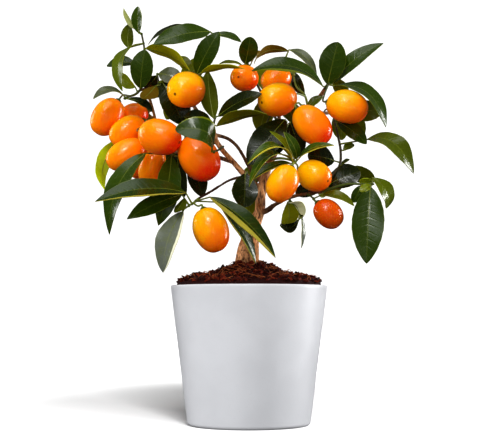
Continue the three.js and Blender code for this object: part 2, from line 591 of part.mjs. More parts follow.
/** Swings each leaf's tip nearer or farther, as little as clears what it crowds. */
function settleLeaves() {
  const settled = [];
  const swings = {};
  for (const [name, { leaves }] of Object.entries(SHOOTS)) {
    swings[name] = leaves.map((leaf) => {
      let best = { hits: Infinity };
      for (let step = 0; step <= SWING_LIMIT && best.hits > 0; step += SWING_STEP) {
        for (const swing of step ? [-step, step] : [0]) {
          const samples = leafSamples(leafSurface(leaf, swing));
          const hits = crowding(samples, name, settled);
          if (hits < best.hits) best = { hits, swing, samples };
        }
      }
      for (const { point, along } of best.samples) settled.push({ point, along, shoot: name });
      return best.swing;
    });
  }
  return swings;
}

const swings = settleLeaves();

/** A fruit: an oval with blunt ends and a shallow dimple at the stalk. */
function fruitShape(fruit) {
  const { centre, axis, long, wide } = fruitFrame(fruit);
  const profile = [new THREE.Vector2(0, -long)];
  for (let i = 1; i < FRUIT_RINGS; i += 1) {
    const turn = (i / FRUIT_RINGS) * Math.PI;
    profile.push(new THREE.Vector2(Math.sin(turn) ** 0.92 * wide, -Math.cos(turn) * long));
  }
  profile.push(new THREE.Vector2(0, long - DIMPLE));
  const geometry = new THREE.LatheGeometry(profile, FRUIT_SIDES);
  geometry.applyQuaternion(new THREE.Quaternion().setFromUnitVectors(new THREE.Vector3(0, 1, 0), axis));
  geometry.translate(centre.x, centre.y, centre.z);
  return geometry;
}

/** The stalk that carries a fruit, from its twig by way of knees, with the calyx at its end. */
function stalkShape(fruit, knees, curve) {
  const { centre, axis, long } = fruitFrame(fruit);
  const tip = long - DIMPLE + GAP;
  const onAxis = (rise) => centre.clone().addScaledVector(axis, tip + rise);
  const start = nearestOn(curve, at(knees[0]));
  const way = [start, ...knees.map(at), onAxis(CALYX_HEIGHT), onAxis(0.4), onAxis(0)];
  const radii = [...way.slice(3).map(() => STALK_RADIUS), 1.1, CALYX_RADIUS, CALYX_RADIUS * 0.8];
  let normal = new THREE.Vector3().crossVectors(axis, new THREE.Vector3(0.3, 0.2, 0.9)).normalize();
  const rings = way.map((point, i) => {
    const before = way[Math.max(i - 1, 0)];
    const after = i + 2 < way.length ? way[i + 1] : onAxis(-1);
    const tangent = i + 3 > way.length ? axis.clone().negate() : after.clone().sub(before).normalize();
    normal = normal.clone().addScaledVector(tangent, -normal.dot(tangent)).normalize();
    const binormal = new THREE.Vector3().crossVectors(tangent, normal);
    return Array.from({ length: CALYX_LOBES }, (_, s) => {
      const turn = (s / CALYX_LOBES) * Math.PI * 2;
      return point.clone()
        .addScaledVector(normal, Math.cos(turn) * radii[i])
        .addScaledVector(binormal, Math.sin(turn) * radii[i]);
    });
  });
  return solid(loft(rings));
}

/** The pot: a tapered shell with a closed flat underside. */
function potShape() {
  const slope = (RIM_RADIUS - BASE_RADIUS) / POT_HEIGHT;
  const inner = (z) => BASE_RADIUS + slope * z - POT_WALL;
  const profile = [
    new THREE.Vector2(0, 0),
    new THREE.Vector2(BASE_RADIUS - BASE_ROUNDING, 0),
    new THREE.Vector2(BASE_RADIUS - BASE_ROUNDING / 4, BASE_ROUNDING / 3),
    new THREE.Vector2(BASE_RADIUS + slope * BASE_ROUNDING, BASE_ROUNDING),
    new THREE.Vector2(RIM_RADIUS - slope * RIM_ROUNDING, POT_HEIGHT - RIM_ROUNDING),
    new THREE.Vector2(RIM_RADIUS - RIM_ROUNDING, POT_HEIGHT),
    new THREE.Vector2(RIM_RADIUS - POT_WALL + RIM_ROUNDING, POT_HEIGHT),
    new THREE.Vector2(RIM_RADIUS - POT_WALL, POT_HEIGHT - RIM_ROUNDING),
    new THREE.Vector2(inner(POT_FLOOR), POT_FLOOR),
    new THREE.Vector2(0, POT_FLOOR),
  ];
  return solid(new THREE.LatheGeometry(profile, POT_SIDES).rotateX(Math.PI / 2));
}

/** The height of the soil's top at a place: a mound with seeded lumps. */
function soilHeight(x, y) {
  const radius = Math.hypot(x, y) / (RIM_RADIUS - POT_WALL);
  const lumps = Math.sin(x * 0.31 + 1.7) * Math.cos(y * 0.27 - 0.6) + 0.7 * Math.sin(x * 0.13 - y * 0.22);
  return SOIL_EDGE_HEIGHT + SOIL_MOUND * (1 - radius ** 2.2) + SOIL_CRUMB * lumps * (1 - radius ** 6);
}

/** The soil: it fills the pot and mounds up to the trunk. */
function soilShape() {
  const slope = (RIM_RADIUS - BASE_RADIUS) / POT_HEIGHT;
  const wall = (z) => BASE_RADIUS + slope * z - POT_WALL - GAP;
  const sides = 24;
  const ring = (radius, height) => Array.from({ length: sides }, (_, s) => {
    const turn = (s / sides) * Math.PI * 2;
    const [x, y] = [Math.cos(turn) * radius, Math.sin(turn) * radius];
    return new THREE.Vector3(x, y, height(x, y, s));
  });
  const top = wall(POT_HEIGHT - 2);
  const rings = [
    ring(2, () => POT_FLOOR + GAP),
    ring(wall(POT_FLOOR), () => POT_FLOOR + GAP),
    ring(top, () => POT_HEIGHT - 2),
  ];
  const rows = 4;
  for (let i = 0; i < rows; i += 1) {
    const radius = top * (1 - i / rows) ** 0.9;
    rings.push(ring(radius, (x, y, s) => soilHeight(x, y) + (chance(i * 97 + s) - 0.5) * SOIL_CRUMB * 1.6));
  }
  return solid(loft(rings));
}

/** All the wood joined, grown all over by a gap. */
function woodShape(grow) {
  return join(WOOD.map(({ route, radii, sides, steps }) => solid(limb(route, radii, sides, steps, grow))));
}

const wood = woodShape(0);
const woodSpace = woodShape(GAP);

/** One shoot: its twig, leaves, fruit stalks and calyxes, trimmed clear of the wood. */
function shootShape(name) {
  const { twig, radius, leaves, fruits } = SHOOTS[name];
  const curve = new THREE.CatmullRomCurve3(twig.map(at));
  const parts = [solid(limb(twig, [radius, radius * 0.75], TWIG_SIDES, twig.length - 1))];
  leaves.forEach((leaf, index) => {
    const surface = leafSurface(leaf, swings[name][index]);
    parts.push(solid(leafSkin(surface, nearestOn(curve, surface(0).point))));
  });
  for (const [fruit, knees] of Object.entries(fruits)) {
    parts.push(stalkShape(FRUITS[fruit], knees, curve));
  }
  return join(parts).subtract(woodSpace);
}

const tree = new THREE.Group();
tree.add(node('pot', potShape(), 0xcfd0d4, 0.45));
tree.add(node('soil', soilShape().subtract(woodSpace), 0x33160c, 1));
tree.add(node('trunk', wood, 0x8a6040, 0.9));
for (const [name, fruit] of Object.entries(FRUITS)) {
  tree.add(node(name, solid(fruitShape(fruit)), 0xf77a10, 0.35));
}
for (const name of Object.keys(SHOOTS)) {
  tree.add(node(name, shootShape(name), SHOOTS[name].colour, 0.5));
}

export default tree;
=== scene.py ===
"""A nagami kumquat trained as a small tree, dressed over its solid frame, in metres."""
import logging
import math
import random
from collections.abc import Callable
from dataclasses import dataclass
from enum import Enum

import bpy
import numpy as np
from mathutils import Matrix, Vector, noise


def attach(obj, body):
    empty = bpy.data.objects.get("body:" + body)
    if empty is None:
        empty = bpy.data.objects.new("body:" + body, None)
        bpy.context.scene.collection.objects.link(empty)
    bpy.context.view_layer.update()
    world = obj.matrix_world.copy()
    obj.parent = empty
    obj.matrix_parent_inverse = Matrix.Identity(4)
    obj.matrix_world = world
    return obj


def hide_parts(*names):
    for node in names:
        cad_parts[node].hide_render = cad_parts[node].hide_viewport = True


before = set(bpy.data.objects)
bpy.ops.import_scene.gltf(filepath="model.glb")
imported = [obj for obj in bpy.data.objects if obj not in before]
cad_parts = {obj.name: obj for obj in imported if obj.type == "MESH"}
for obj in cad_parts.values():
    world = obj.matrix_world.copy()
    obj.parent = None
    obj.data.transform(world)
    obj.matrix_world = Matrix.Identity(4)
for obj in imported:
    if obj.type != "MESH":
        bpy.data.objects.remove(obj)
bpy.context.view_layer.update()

LOG = logging.getLogger("kumquat")
MM = 0.001

# Sizes shared with the frame, in millimetres
RIM_RADIUS = 60.3
POT_HEIGHT = 106.6
BASE_RADIUS = 47.0
POT_WALL = 3.6
POT_FLOOR = 5.0
POT_SLOPE = (RIM_RADIUS - BASE_RADIUS) / POT_HEIGHT
BORE = RIM_RADIUS - POT_WALL
SOIL_LINE = POT_HEIGHT - 2
SOIL_EDGE_HEIGHT = 108.5
SOIL_MOUND = 12.5
SOIL_CRUMB = 1.6
GAP = 0.3
LEAF_FOLD = 0.16
BASE_POWER = 0.8
ROOT_REACH = 3.2
CALYX_RADIUS = 2.7
CALYX_HEIGHT = 1.8
DIMPLE = 0.5

# The eye of the front drawing, how far up it aims, and the drawing's centre and width
EYE = np.array([0.8, -950.0, 86.0])
AIM_HEIGHT = 155.3
TILT = math.atan((AIM_HEIGHT - EYE[2]) / -EYE[1])
DRAWING_CENTRE = (0.8, 158.3)
DRAWING_WIDTH = 387.0
SENSOR_WIDTH = 36.0

# A place on the drawing, rows of numbers, a stem's places and radii, and Blender's own kinds
Place = tuple[float, ...]
Rows = np.ndarray
Route = tuple[Rows, Rows]
Colour = tuple[float, float, float, float]
Thing = bpy.types.Object
Paint = bpy.types.Material
Socket = bpy.types.NodeSocket


def at(place: Place) -> Rows:
    """Gives the real place of a point of the front drawing.

    Args:
        place: Across, up and, if not 0, the depth away from the eye.

    Returns:
        The point in millimetres.
    """
    x, z = place[0], place[1]
    depth = place[2] if len(place) > 2 else 0.0
    aside, above = x - DRAWING_CENTRE[0], z - DRAWING_CENTRE[1]
    ahead = -EYE[1] - above * math.sin(TILT)
    reach = (depth - EYE[1]) / ahead
    rise = (AIM_HEIGHT - EYE[2] + above * math.cos(TILT)) * reach
    return np.array([EYE[0] + aside * reach, depth, EYE[2] + rise])


def sized(size: float, depth: float) -> float:
    """Gives the real size of what measures so much on the drawing, at a depth."""
    return size * (depth - EYE[1]) / -EYE[1]


def unit(vector: Rows) -> Rows:
    """Gives vectors of length 1 along the last axis."""
    return vector / np.linalg.norm(vector, axis=-1, keepdims=True)


def smooth_route(knots: Rows, count: int) -> Rows:
    """Gives places along the smooth route through some knots.

    Args:
        knots: The points that the route passes, one a row.
        count: How many places to give, the ends included.

    Returns:
        The places, one a row.
    """
    last = len(knots) - 1
    places = []
    for t in np.linspace(0, 1, count):
        i = min(int(last * t), last - 1)
        w = last * t - i
        p1, p2 = knots[i], knots[i + 1]
        p0 = knots[i - 1] if i else 2 * knots[0] - knots[1]
        p3 = knots[i + 2] if i + 2 <= last else 2 * knots[last] - knots[last - 1]
        d0, d1, d2 = (math.sqrt(np.linalg.norm(b - a)) for a, b in ((p0, p1), (p1, p2), (p2, p3)))
        out = ((p1 - p0) / d0 - (p2 - p0) / (d0 + d1) + (p2 - p1) / d1) * d1
        into = ((p2 - p1) / d1 - (p3 - p1) / (d1 + d2) + (p3 - p2) / d2) * d1
        bend, turn = 3 * (p2 - p1) - 2 * out - into, 2 * (p1 - p2) + out + into
        places.append(p1 + out * w + bend * w**2 + turn * w**3)
    return np.array(places)


def linear(hexed: str) -> Colour:
    """Gives a colour named by six hex digits as a shader's linear colour.

    Args:
        hexed: The six hex digits.

    Returns:
        Red, green, blue and 1.
    """
    parts = [int(hexed[i:i + 2], 16) / 255 for i in (0, 2, 4)]
    red, green, blue = (((v + 0.055) / 1.055) ** 2.4 if v > 0.04045 else v / 12.92 for v in parts)
    return (red, green, blue, 1.0)


class Look(Enum):
    """How a leaf is coloured: upper side, underside, and how pale its rib and margin are."""

    # This look is DARK made darker: painted shade for leaves deep in the crown.
    DEEP = ("1c2404", "4c5406", 0.05)
    DARK = ("2f4205", "5c6408", 0.08)
    # This look's olive is partly the blade's own colour and partly painted light shining through it.
    OLIVE = ("646a08", "98980a", 0.08)
    MID = ("525e05", "747806", 0.1)
    BRIGHT = ("74800c", "a8bc14", 0.15)
    NEW = ("3e560a", "aca434", 0.35)
    EDGED = ("263a0a", "8a8430", 0.12)
    BROWN = ("403310", "6c550a", 0.08)
    # This look's grey-green is partly the blade's own paler colour and partly painted sheen.
    GREY = ("565c46", "888c60", 0.15)
    # This look paints the grey-white sheen of a glossy blade into its colour.
    SILVER_SHEEN = ("70766a", "c6c8a6", 0.08)


DEEP, DARK, OLIVE, MID, BRIGHT, NEW, EDGED, BROWN, GREY, SILVER_SHEEN = Look


@dataclass(frozen=True)
class Limb:
    """A woody limb: its route on the drawing, its radii from root to end, and how dark its bark is."""

    route: list[Place]
    radii: list[float]
    darkness: float = 0.0


@dataclass(frozen=True)
class Leaf:
    """A leaf: base and tip on the drawing, width, roll, arch, look, and its pale strip.

    The tip's depth keeps the leaf clear of the fruits, the wood and the other leaves. The strip
    is the share of one half that shows the underside's colour, made lighter as painted sheen, plus
    on the right of the way from base to tip and minus on the left.
    """

    base: Place
    tip: Place
    width: float
    roll: float
    arch: float
    look: Look
    strip: float = 0.0


@dataclass(frozen=True)
class Fruit:
    """A fruit: centre on the drawing, half sizes, way to the stalk (right, up, away), redness, partly painted
    shade.
    """

    place: Place
    long: float
    wide: float
    up: Place
    redness_and_shade: float

    def frame(self) -> tuple[Rows, Rows, float, float]:
        """Gives where the fruit really is and how large.

        Returns:
            The centre, the axis, the half length and the half width.
        """
        axis = unit(np.array([self.up[0], self.up[2], self.up[1]]))
        depth = self.place[2]
        return at(self.place), axis, sized(self.long, depth), sized(self.wide, depth)


@dataclass(frozen=True)
class Shoot:
    """A shoot: its twig's colour, radius and route, its leaves, and the stalks of its fruits."""

    colour: str
    radius: float
    twig: list[Place]
    leaves: list[Leaf]
    fruits: dict[str, list[Place]]
    slot: str = "leaf"


WOOD = [
    Limb([(-7, 104), (-5, 114), (-2, 127), (0, 140), (1.5, 148), (4, 157), (8, 168), (9.5, 180), (12, 192),
          (15, 204)],
         [8, 9.5, 9.2, 8.2, 6.6, 5.2, 4.1, 3.9, 3.6, 3.2]),
    Limb([(-3, 130, -2), (-10, 123, -5), (-19, 116, -9), (-26, 108, -12)], [6, 4.5, 3, 2]),
    Limb([(0, 131, -2), (5, 123, -7), (9, 116, -12), (13, 107, -16)], [6, 4.2, 3, 2]),
    Limb([(-2, 130, 3), (-6, 122, 10), (-9, 116, 16), (-12, 107, 22)], [6, 4.2, 3, 2]),
    Limb([(0, 130, 3), (6, 122, 8), (13, 115, 12), (18, 107, 15)], [5.5, 4, 3, 2]),
    Limb([(9, 181), (1, 191, -2), (-6, 198, -4), (-13, 206, -6), (-21, 215, -9), (-26, 223, -11),
          (-28, 231, -12)],
         [3.6, 2.8, 2.2, 2, 2, 2, 2], 0.25),
    Limb([(10, 190, 2), (1, 200, 5), (-4, 209, 4), (-9, 217, 0), (-16, 223, -5), (-25, 226, -10)],
         [2.2, 1.6, 1.4, 1.4, 1.4, 1.6], 0.85),
    Limb([(-27, 228, -12), (-36, 236, -6), (-46, 242, -2), (-60, 251, 2), (-75, 261, 3), (-85, 261, 2)],
         [2, 1.9, 1.8, 1.6, 1.5, 1.3], 0.8),
    Limb([(14, 200), (20, 212, 4), (30, 226, 8), (38, 236, 10), (46, 246, 9), (55, 256, 2), (59, 262, -3)],
         [3.2, 2.6, 2.3, 2.1, 2, 1.8, 1.6], 0.6),
    Limb([(5, 187, -1), (-5, 193, -7), (-15, 191, -13), (-22, 187, -18), (-30, 182, -23), (-39, 177, -29)],
         [1.8, 1.3, 1, 1, 1, 1], 0.93),
    Limb([(6, 164, 0), (13, 167, -3), (20, 172, -7), (30, 177, -12), (41, 180, -15), (57, 182, -18)],
         [3, 2, 1.6, 1.5, 1.4, 1.3], 0.75),
    Limb([(13, 198, 1), (18, 212, 16), (23, 230, 36), (23, 250, 54)], [2.6, 2.2, 1.8, 1.4], 0.75),
    Limb([(-27, 229, -11), (-36, 238, 10), (-43, 249, 32), (-50, 259, 50)], [1.9, 1.8, 1.6, 1.3], 0.75),
    Limb([(42, 241, 10), (51, 243, 28), (60, 243, 44), (70, 244, 56)], [1.9, 1.7, 1.5, 1.3], 0.75),
    Limb([(-12, 205, -6), (-26, 209, 14), (-42, 209, 34), (-64, 215, 48)], [1.8, 1.7, 1.5, 1.3], 0.75),
    Limb([(11, 189, 1), (24, 193, 20), (42, 194, 38), (64, 194, 50)], [2.2, 1.8, 1.5, 1.3], 0.75),
    Limb([(8, 176, 1), (3, 180, 18), (-3, 182, 34)], [1.9, 1.5, 1.2], 0.75),
]

# A fruit's redness is partly its ripeness and partly painted shade; fruit 19's high redness paints the shade
# under the leaves.
FRUITS = {f"fruit_{number:02}": fruit for number, fruit in enumerate([
    Fruit((-109.5, 240, 17), 15.8, 12, (0.54, 0.84, 0.05), 0.42),
    Fruit((-48.5, 261, -24), 16.5, 14.2, (0.5, 0.35, 0.8), 0.14),
    Fruit((-3.5, 270, -10), 13, 10.6, (0.35, 0.1, 0.9), 0.45),
    Fruit((21, 269, 14), 12.5, 10, (0.85, 0.35, 0.2), 0.4),
    Fruit((22, 253.5, -14), 16.5, 13.5, (0.75, 0.25, 0.6), 0.3),
    Fruit((49, 233.5, -24), 18, 13.4, (-0.64, 0.75, 0.15), 0.42),
    Fruit((76, 248, -22), 16.6, 13.2, (-0.95, 0.25, 0.2), 0.2),
    Fruit((-89, 241, 31), 11.5, 9.5, (0.9, 0.3, 0.25), 0.6),
    Fruit((-94, 229, 2), 15.6, 11, (0.82, 0.55, 0.15), 0.42),
    Fruit((-95, 211, -13), 17, 11.4, (0.86, 0.5, 0.15), 0.4),
    Fruit((-69, 224.5, -34), 17.8, 14, (-0.9, 0.3, 0.35), 0.5),
    Fruit((-38.5, 208.2, -30), 19.3, 15.6, (-0.53, 0.83, 0.15), 0.62),
    Fruit((11, 217, 72), 12, 10, (0.1, 0.9, -0.4), 0.45),
    Fruit((-82, 203, 22), 13, 8, (0.7, 0.7, 0.1), 0.55),
    Fruit((-75, 202, 7), 15, 9.4, (0.42, 0.9, 0.05), 0.35),
    Fruit((-29.5, 152.5, -40), 18, 13.6, (-0.34, 0.93, 0.05), 0.24),
    Fruit((26, 188.5, -45), 15.6, 12, (0.47, 0.87, 0.15), 0.25),
    Fruit((50.5, 194.5, -29), 14.5, 12.2, (-0.7, 0.35, 0.6), 0.1),
    Fruit((61.5, 165, -30), 12.8, 10.6, (-0.7, 0.7, 0.1), 1.8),
    Fruit((-48.5, 262, 84), 12.5, 12, (-0.1, 0.6, -0.8), 0.3),
    Fruit((49.5, 232.5, 72), 13.5, 11.8, (0.45, 0.5, -0.74), 0.4),
    Fruit((-84, 222, 80), 15.5, 12, (0.7, 0.5, -0.5), 0.5),
    Fruit((50.5, 194.5, 70), 12.5, 11, (0.3, 0.3, -0.9), 0.2),
], 1)}

SHOOTS = {
    "shoot_top_left": Shoot(
        "3e3a16", 1.1, [(-84, 261, 2), (-83.5, 268, 1), (-82.5, 278, 0), (-81, 292, 0), (-83, 304, 0)], [
            Leaf((-85.5, 305, 0), (-86, 325.5, -4), 11, 42, 1, DARK),
            Leaf((-86, 307, 1), (-97, 324, 6), 7, 125, 2, GREY),
            Leaf((-93.5, 293.5, 4), (-92.5, 312, 12), 11, 155, 2, DEEP),
            Leaf((-88, 296, -3), (-98, 260, -16), 15, -58, 10, MID),
            Leaf((-88, 281, 4), (-110, 279.5, 14), 12, -50, 3, DARK),
            Leaf((-84, 262, -4), (-80.5, 292, -16), 18, 12, 3, DARK),
            Leaf((-80, 293, -2), (-46, 276, -20), 19, 116, 4, OLIVE),
        ], {}),
    "shoot_far_left": Shoot(
        "4a4c1a", 1.1, [(-84, 261, 2), (-88, 257.5, -1), (-92, 256, -3), (-97, 254, -5)], [
            Leaf((-88, 263, 0), (-101, 273, 8), 11, 40, 1, BRIGHT),
            Leaf((-97, 257, -5), (-120.5, 254, -12), 11, -64, 6, GREY),
            Leaf((-94, 254, -6), (-75, 244, -10), 12, 62, 3, DEEP),
        ], {"fruit_01": [(-97, 257, 8)]}),
    "shoot_left_fruit": Shoot(
        "8a5c2a", 1.2, [(-80, 261, 3), (-77, 254, 0), (-74.5, 246, -4), (-72.5, 238, -2), (-71, 228, 2),
                        (-66, 220, 4), (-62, 214, -2), (-60, 211, -10)], [
            Leaf((-80, 212, -27), (-108, 149, -34), 20, -40, 14, DARK),
            Leaf((-60, 210, -22), (-70, 156, -28), 20, 18, 5, DARK),
            Leaf((-55, 209, -18), (-50, 178, -7), 14, -30, 3, DEEP),
            Leaf((-101, 223, 26), (-112, 184, 12), 15, -140, 9, BRIGHT),
        ], {"fruit_08": [(-75, 248, 22)], "fruit_09": [(-76, 240, 2)], "fruit_10": [(-77, 222, -6)],
            "fruit_11": [(-80, 234, -14)], "fruit_14": [(-71, 215, 18)], "fruit_15": [(-68, 218, 4)]}),
    "leaf_front_left": Shoot(
        "3c4014", 1.0, [(-20, 217, -9), (-21.5, 216, -24), (-23.5, 214.5, -39), (-27, 213, -47)],
        [Leaf((-29, 213, -49), (-57, 230.5, -66), 23, -42, 16, DARK, 0.12)], {}),
    "shoot_inner_left": Shoot(
        "3a3a14", 1.1, [(-28, 231, -12), (-27, 236, -14), (-26, 240, -13)], [
            Leaf((-27.5, 239, -12), (-32, 276, -6), 15, 155, 2, DEEP),
            Leaf((-24, 240.5, -12), (10, 258, -26), 17, 48, 3, DEEP),
            Leaf((-25, 233, -14), (14, 242, -34), 16, 120, 4, MID),
            Leaf((-29, 236, -14), (-50, 240, -26), 13, -40, 3, DEEP),
        ], {}),
    "shoot_upper_mid": Shoot(
        "3a3a14", 1.2, [(-46, 242, -2), (-46, 254, 6), (-41, 270, 5), (-35, 288, 6), (-28, 304, 4)], [
            Leaf((-40.5, 273, 2), (-23, 306, -10), 17, 20, 3, DARK),
            Leaf((-36, 276, 8), (-26, 295, 16), 12, 30, 2, MID),
            Leaf((-37, 274, -12), (-3, 277, -34), 12, 112, 3, OLIVE),
            Leaf((-46, 274, 8), (-53, 287, 14), 10, -20, 1, OLIVE),
            Leaf((-30, 306, 3), (-74, 296, -20), 19, -42, 4, DARK),
            Leaf((-42, 307, 8), (-78, 296, 16), 13, -72, 6.8, DEEP),
            Leaf((-26, 304, 4), (-6, 298, 4), 10, 60, 2, DARK),
        ], {"fruit_02": [(-42, 266, 2)]}),
    "shoot_left_dark": Shoot(
        "2c2c10", 1.0, [(-68, 256, 3), (-69, 261, 0), (-70, 267, -2), (-71, 273, -2)], [
            Leaf((-67, 267, -4), (-51, 234, -6), 21, 15, 3, DEEP),
            Leaf((-70, 273.5, -2), (-53, 269, -6), 14, 25, 2, GREY),
            Leaf((-71, 272, 0), (-80, 262, 11), 12, 15, 1, DEEP),
            Leaf((-72, 264, -4), (-82, 254, -30), 13, 150, 1, BROWN),
        ], {}),
    "shoot_low_mid_left": Shoot(
        "2c2c10", 0.9, [(-24, 219, -10), (-29, 220, -2), (-34, 219, 2), (-40, 212, 4)], [
            Leaf((-44, 206, 4), (-36, 178, -4), 15, 5, 2, DEEP),
            Leaf((-46, 214, 4), (-58, 196, 8), 14, -20, 3, DEEP),
        ], {"fruit_12": [(-50, 231, -16)]}),
    "shoot_centre_top": Shoot(
        "3a3a14", 1.2, [(30, 226, 8), (20, 240, 22), (10, 258, 26), (3, 272, 20), (-1, 281, 14)], [
            Leaf((-3, 281, 12), (1, 302, -1), 15, -15, 1, DARK),
            Leaf((1, 280, 14), (9, 291, 20), 8, 100, 1, BROWN),
            Leaf((-5, 280, 12), (-23, 281, 6), 7, -70, 2, OLIVE),
        ], {"fruit_03": [(2, 272, 12)]}),
    "shoot_over_right": Shoot(
        "6e7a28", 1.0, [(46, 246, 9), (43, 257, 12), (37, 263, 15), (33.5, 274, 17), (28, 285, 15)],
        [Leaf((30.5, 291, 14), (4, 281, -7), 10, -122, 7.3, BROWN),
         Leaf((31, 292, 14), (52.5, 272, 4), 9, 42, 6.4, GREY),
         Leaf((43, 256, 14), (34, 275, 27), 9, 20, 2, DEEP)],
        {"fruit_04": [(35, 272, 16)], "fruit_05": [(37, 258, 2)]}, "new_leaf"),
    "shoot_right_hub": Shoot(
        "3c4414", 1.3, [(59, 262, -3), (60, 264, -7), (62, 266, -12)], [
            Leaf((57.5, 263.5, -6), (2, 275.5, -18), 21, -60, 11.5, DARK, -0.35),
            Leaf((61, 265, -8), (69, 298, -20), 21, 10, 2, DARK),
            Leaf((65, 266, -6), (104, 297, -14), 15, 40, 6, DARK),
            Leaf((66, 264, -8), (106, 232, -22), 20, 60, 13.5, DARK),
        ], {"fruit_07": [(58, 256, -14)]}),
    "stalk_right_front": Shoot(
        "6e7a28", 0.9, [(46, 246, 9), (43, 248.5, 0), (40, 249.5, -8)],
        [Leaf((45, 248, -2), (57, 256, -4), 7, 30, 1, MID)],
        {"fruit_06": [(38, 251, -16)]}, "new_leaf"),
    "shoot_right": Shoot(
        "35301a", 1.3, [(52, 181.5, -17), (60, 190, -14), (70, 202, -8), (71, 213, -6), (69, 225, -5),
                        (66, 237, -4)], [
            Leaf((76, 240, -3), (103, 246, 0), 17, 20, 3, MID),
            Leaf((69, 236, -5), (91, 219, -14), 14, 30, 3, DARK),
            Leaf((70, 233, -6), (79, 227, -7), 8, 140, 1, OLIVE),
            Leaf((91, 222.5, -8), (127.5, 196.2, -26), 19, 43, 14.5, MID),
            Leaf((73, 214, -6), (81, 219, -2), 7, 40, 1, MID),
            Leaf((66, 206, -8), (45.5, 210, -14), 19, -30, 2, DEEP),
            Leaf((60, 187, -8), (86, 198, -10), 19, 20, 2, DEEP),
            Leaf((71, 202, -10), (78, 207, -18), 5, 60, 1, DARK),
        ], {}),
    "shoot_new_leaves": Shoot(
        "7c8a24", 1.1, [(17, 207, 2), (24, 208, -10), (31, 207, -20), (36, 205, -26)], [
            Leaf((35, 206, -26), (0, 186, -48), 12, -60, 15.5, NEW),
            Leaf((34, 205, -28), (-1, 203.5, -52), 12, -68, 14.5, NEW, -0.5),
            Leaf((33, 204, -26), (4, 192, -40), 9, -52, 5, NEW, -0.16),
            Leaf((35, 208, -26), (16, 229, -38), 8, -55, 3, BRIGHT),
            Leaf((37, 207, -26), (27, 228.5, -40), 9, -30, 4.5, NEW),
            Leaf((38, 207, -26), (66, 218, -46), 10, 58, 5, NEW, 0.25),
        ], {"fruit_17": [(35, 204, -36)], "fruit_18": [(37.5, 202.5, -18)]}, "new_leaf"),
    "leaf_behind_new": Shoot(
        "2a2c0c", 0.9, [(30, 226, 8), (29, 231, 2), (29, 236, -4)],
        [Leaf((28, 238, -6), (0, 203, -16), 24, -18, 3, DEEP),
         Leaf((30, 233, -1), (14, 209.5, -4), 15, 5, 1, DEEP),
         Leaf((32, 236, 2), (39, 210, 12), 15, 10, 3, DEEP)], {}),
    "shoot_trunk_mid": Shoot(
        "2a2c0c", 0.9, [(1, 191, -2), (-1, 195, -6), (-2, 197, -10)],
        [Leaf((-3, 196, -12), (-4, 170, -22), 20, 8, 2, DEEP)], {}),
    "shoot_low_left": Shoot(
        "6a7420", 0.95, [(-39, 177, -29), (-43, 173.5, -31), (-47, 171, -32), (-51, 168, -33)], [
            Leaf((-49, 181.5, -34), (-119, 174.5, -62), 22, -50, 8, EDGED, -0.16),
            Leaf((-52, 180, -30), (-94.5, 161, -50), 16, -30, 3, DARK),
            Leaf((-50, 177, -32), (-57, 166, -44), 9, 140, 1, DEEP),
            Leaf((-51, 167, -34), (-66.5, 119.5, -40), 20, -35, 7.5, SILVER_SHEEN, -0.24),
            Leaf((-30, 178, -38), (20.5, 131, -50), 18, 45, 7, EDGED, 0.65),
            Leaf((-24, 174, -31), (5, 127, -26), 15, 52, 5, EDGED, 0.22),
        ], {"fruit_16": [(-39, 171, -38)]}),
    "shoot_under_right": Shoot(
        "5c6a24", 0.9, [(30, 177, -12), (32, 175, -14), (38, 166, -15), (41, 163, -16)], [
            Leaf((30, 174, -15), (29, 157.5, -24), 15, 150, 4, MID),
            Leaf((31.5, 173.5, -19), (40, 161, -10), 13, 145, 5, SILVER_SHEEN),
            Leaf((38.5, 160.5, -18), (24, 156, -16), 12, -40, -6, DEEP),
            Leaf((41, 162, -15), (40.5, 138.5, -12), 8, 68, 1, SILVER_SHEEN),
        ], {}, "new_leaf"),
    "stalk_low_right": Shoot(
        "55621c", 0.9, [(45, 180.5, -16), (48, 178.5, -20), (50, 176.5, -25)],
        [Leaf((56, 179.5, -24), (81.5, 171, -30), 10, 50, 5, OLIVE)],
        {"fruit_19": [(51, 175.5, -27)]}),
    "shoot_far_right": Shoot(
        "4c5a18", 1.1, [(57, 182, -18), (63, 184.5, -18), (76, 188, -16), (88, 188, -17), (97, 188, -18)], [
            Leaf((94, 186, -20), (91, 126.5, -30), 25, -5, 4, DARK),
            Leaf((95.5, 193, -18), (106.6, 169.4, -10), 14, 40, 8.5, MID),
            Leaf((95, 190.5, -16), (85.5, 189.5, -17), 8, 30, 1, BRIGHT),
            Leaf((95, 187, -18), (86, 182.5, -20), 7, -30, 1, BRIGHT),
            Leaf((58, 186, -12), (36, 181, -4), 13, -20, 2, DEEP),
            Leaf((87, 187, -18), (80, 174, -19), 9, 20, 1, DARK),
        ], {}),
    "shoot_back_centre": Shoot(
        "3a3a14", 1.1, [(23, 250, 54), (23, 255, 58), (21, 259, 64)], [
            Leaf((25, 257, 58), (38, 271, 72), 13, 150, 4, DARK),
            Leaf((18, 257, 62), (4, 277, 72), 15, -150, 4, MID),
            Leaf((24, 252, 60), (38, 232, 89), 17, 150, 4, DARK),
            Leaf((18, 254, 64), (8, 228, 88), 18, -160, 5, DARK),
        ], {"fruit_13": [(14, 236, 66)]}),
    "shoot_back_left": Shoot(
        "3a3a14", 1.1, [(-50, 259, 50), (-53, 263, 55), (-55, 266, 58)], [
            Leaf((-52, 264, 56), (-32, 286, 66), 16, 160, 4, DARK),
            Leaf((-57, 266, 56), (-63, 277, 42), 11, -160, 3, MID),
            Leaf((-55, 263, 58), (-64, 238, 82), 18, 170, 6, DARK),
            Leaf((-52, 263, 57), (-31, 263, 64), 15, 150, 5, MID),
            Leaf((-57, 264, 56), (-74, 255, 81), 15, -150, 4, DARK),
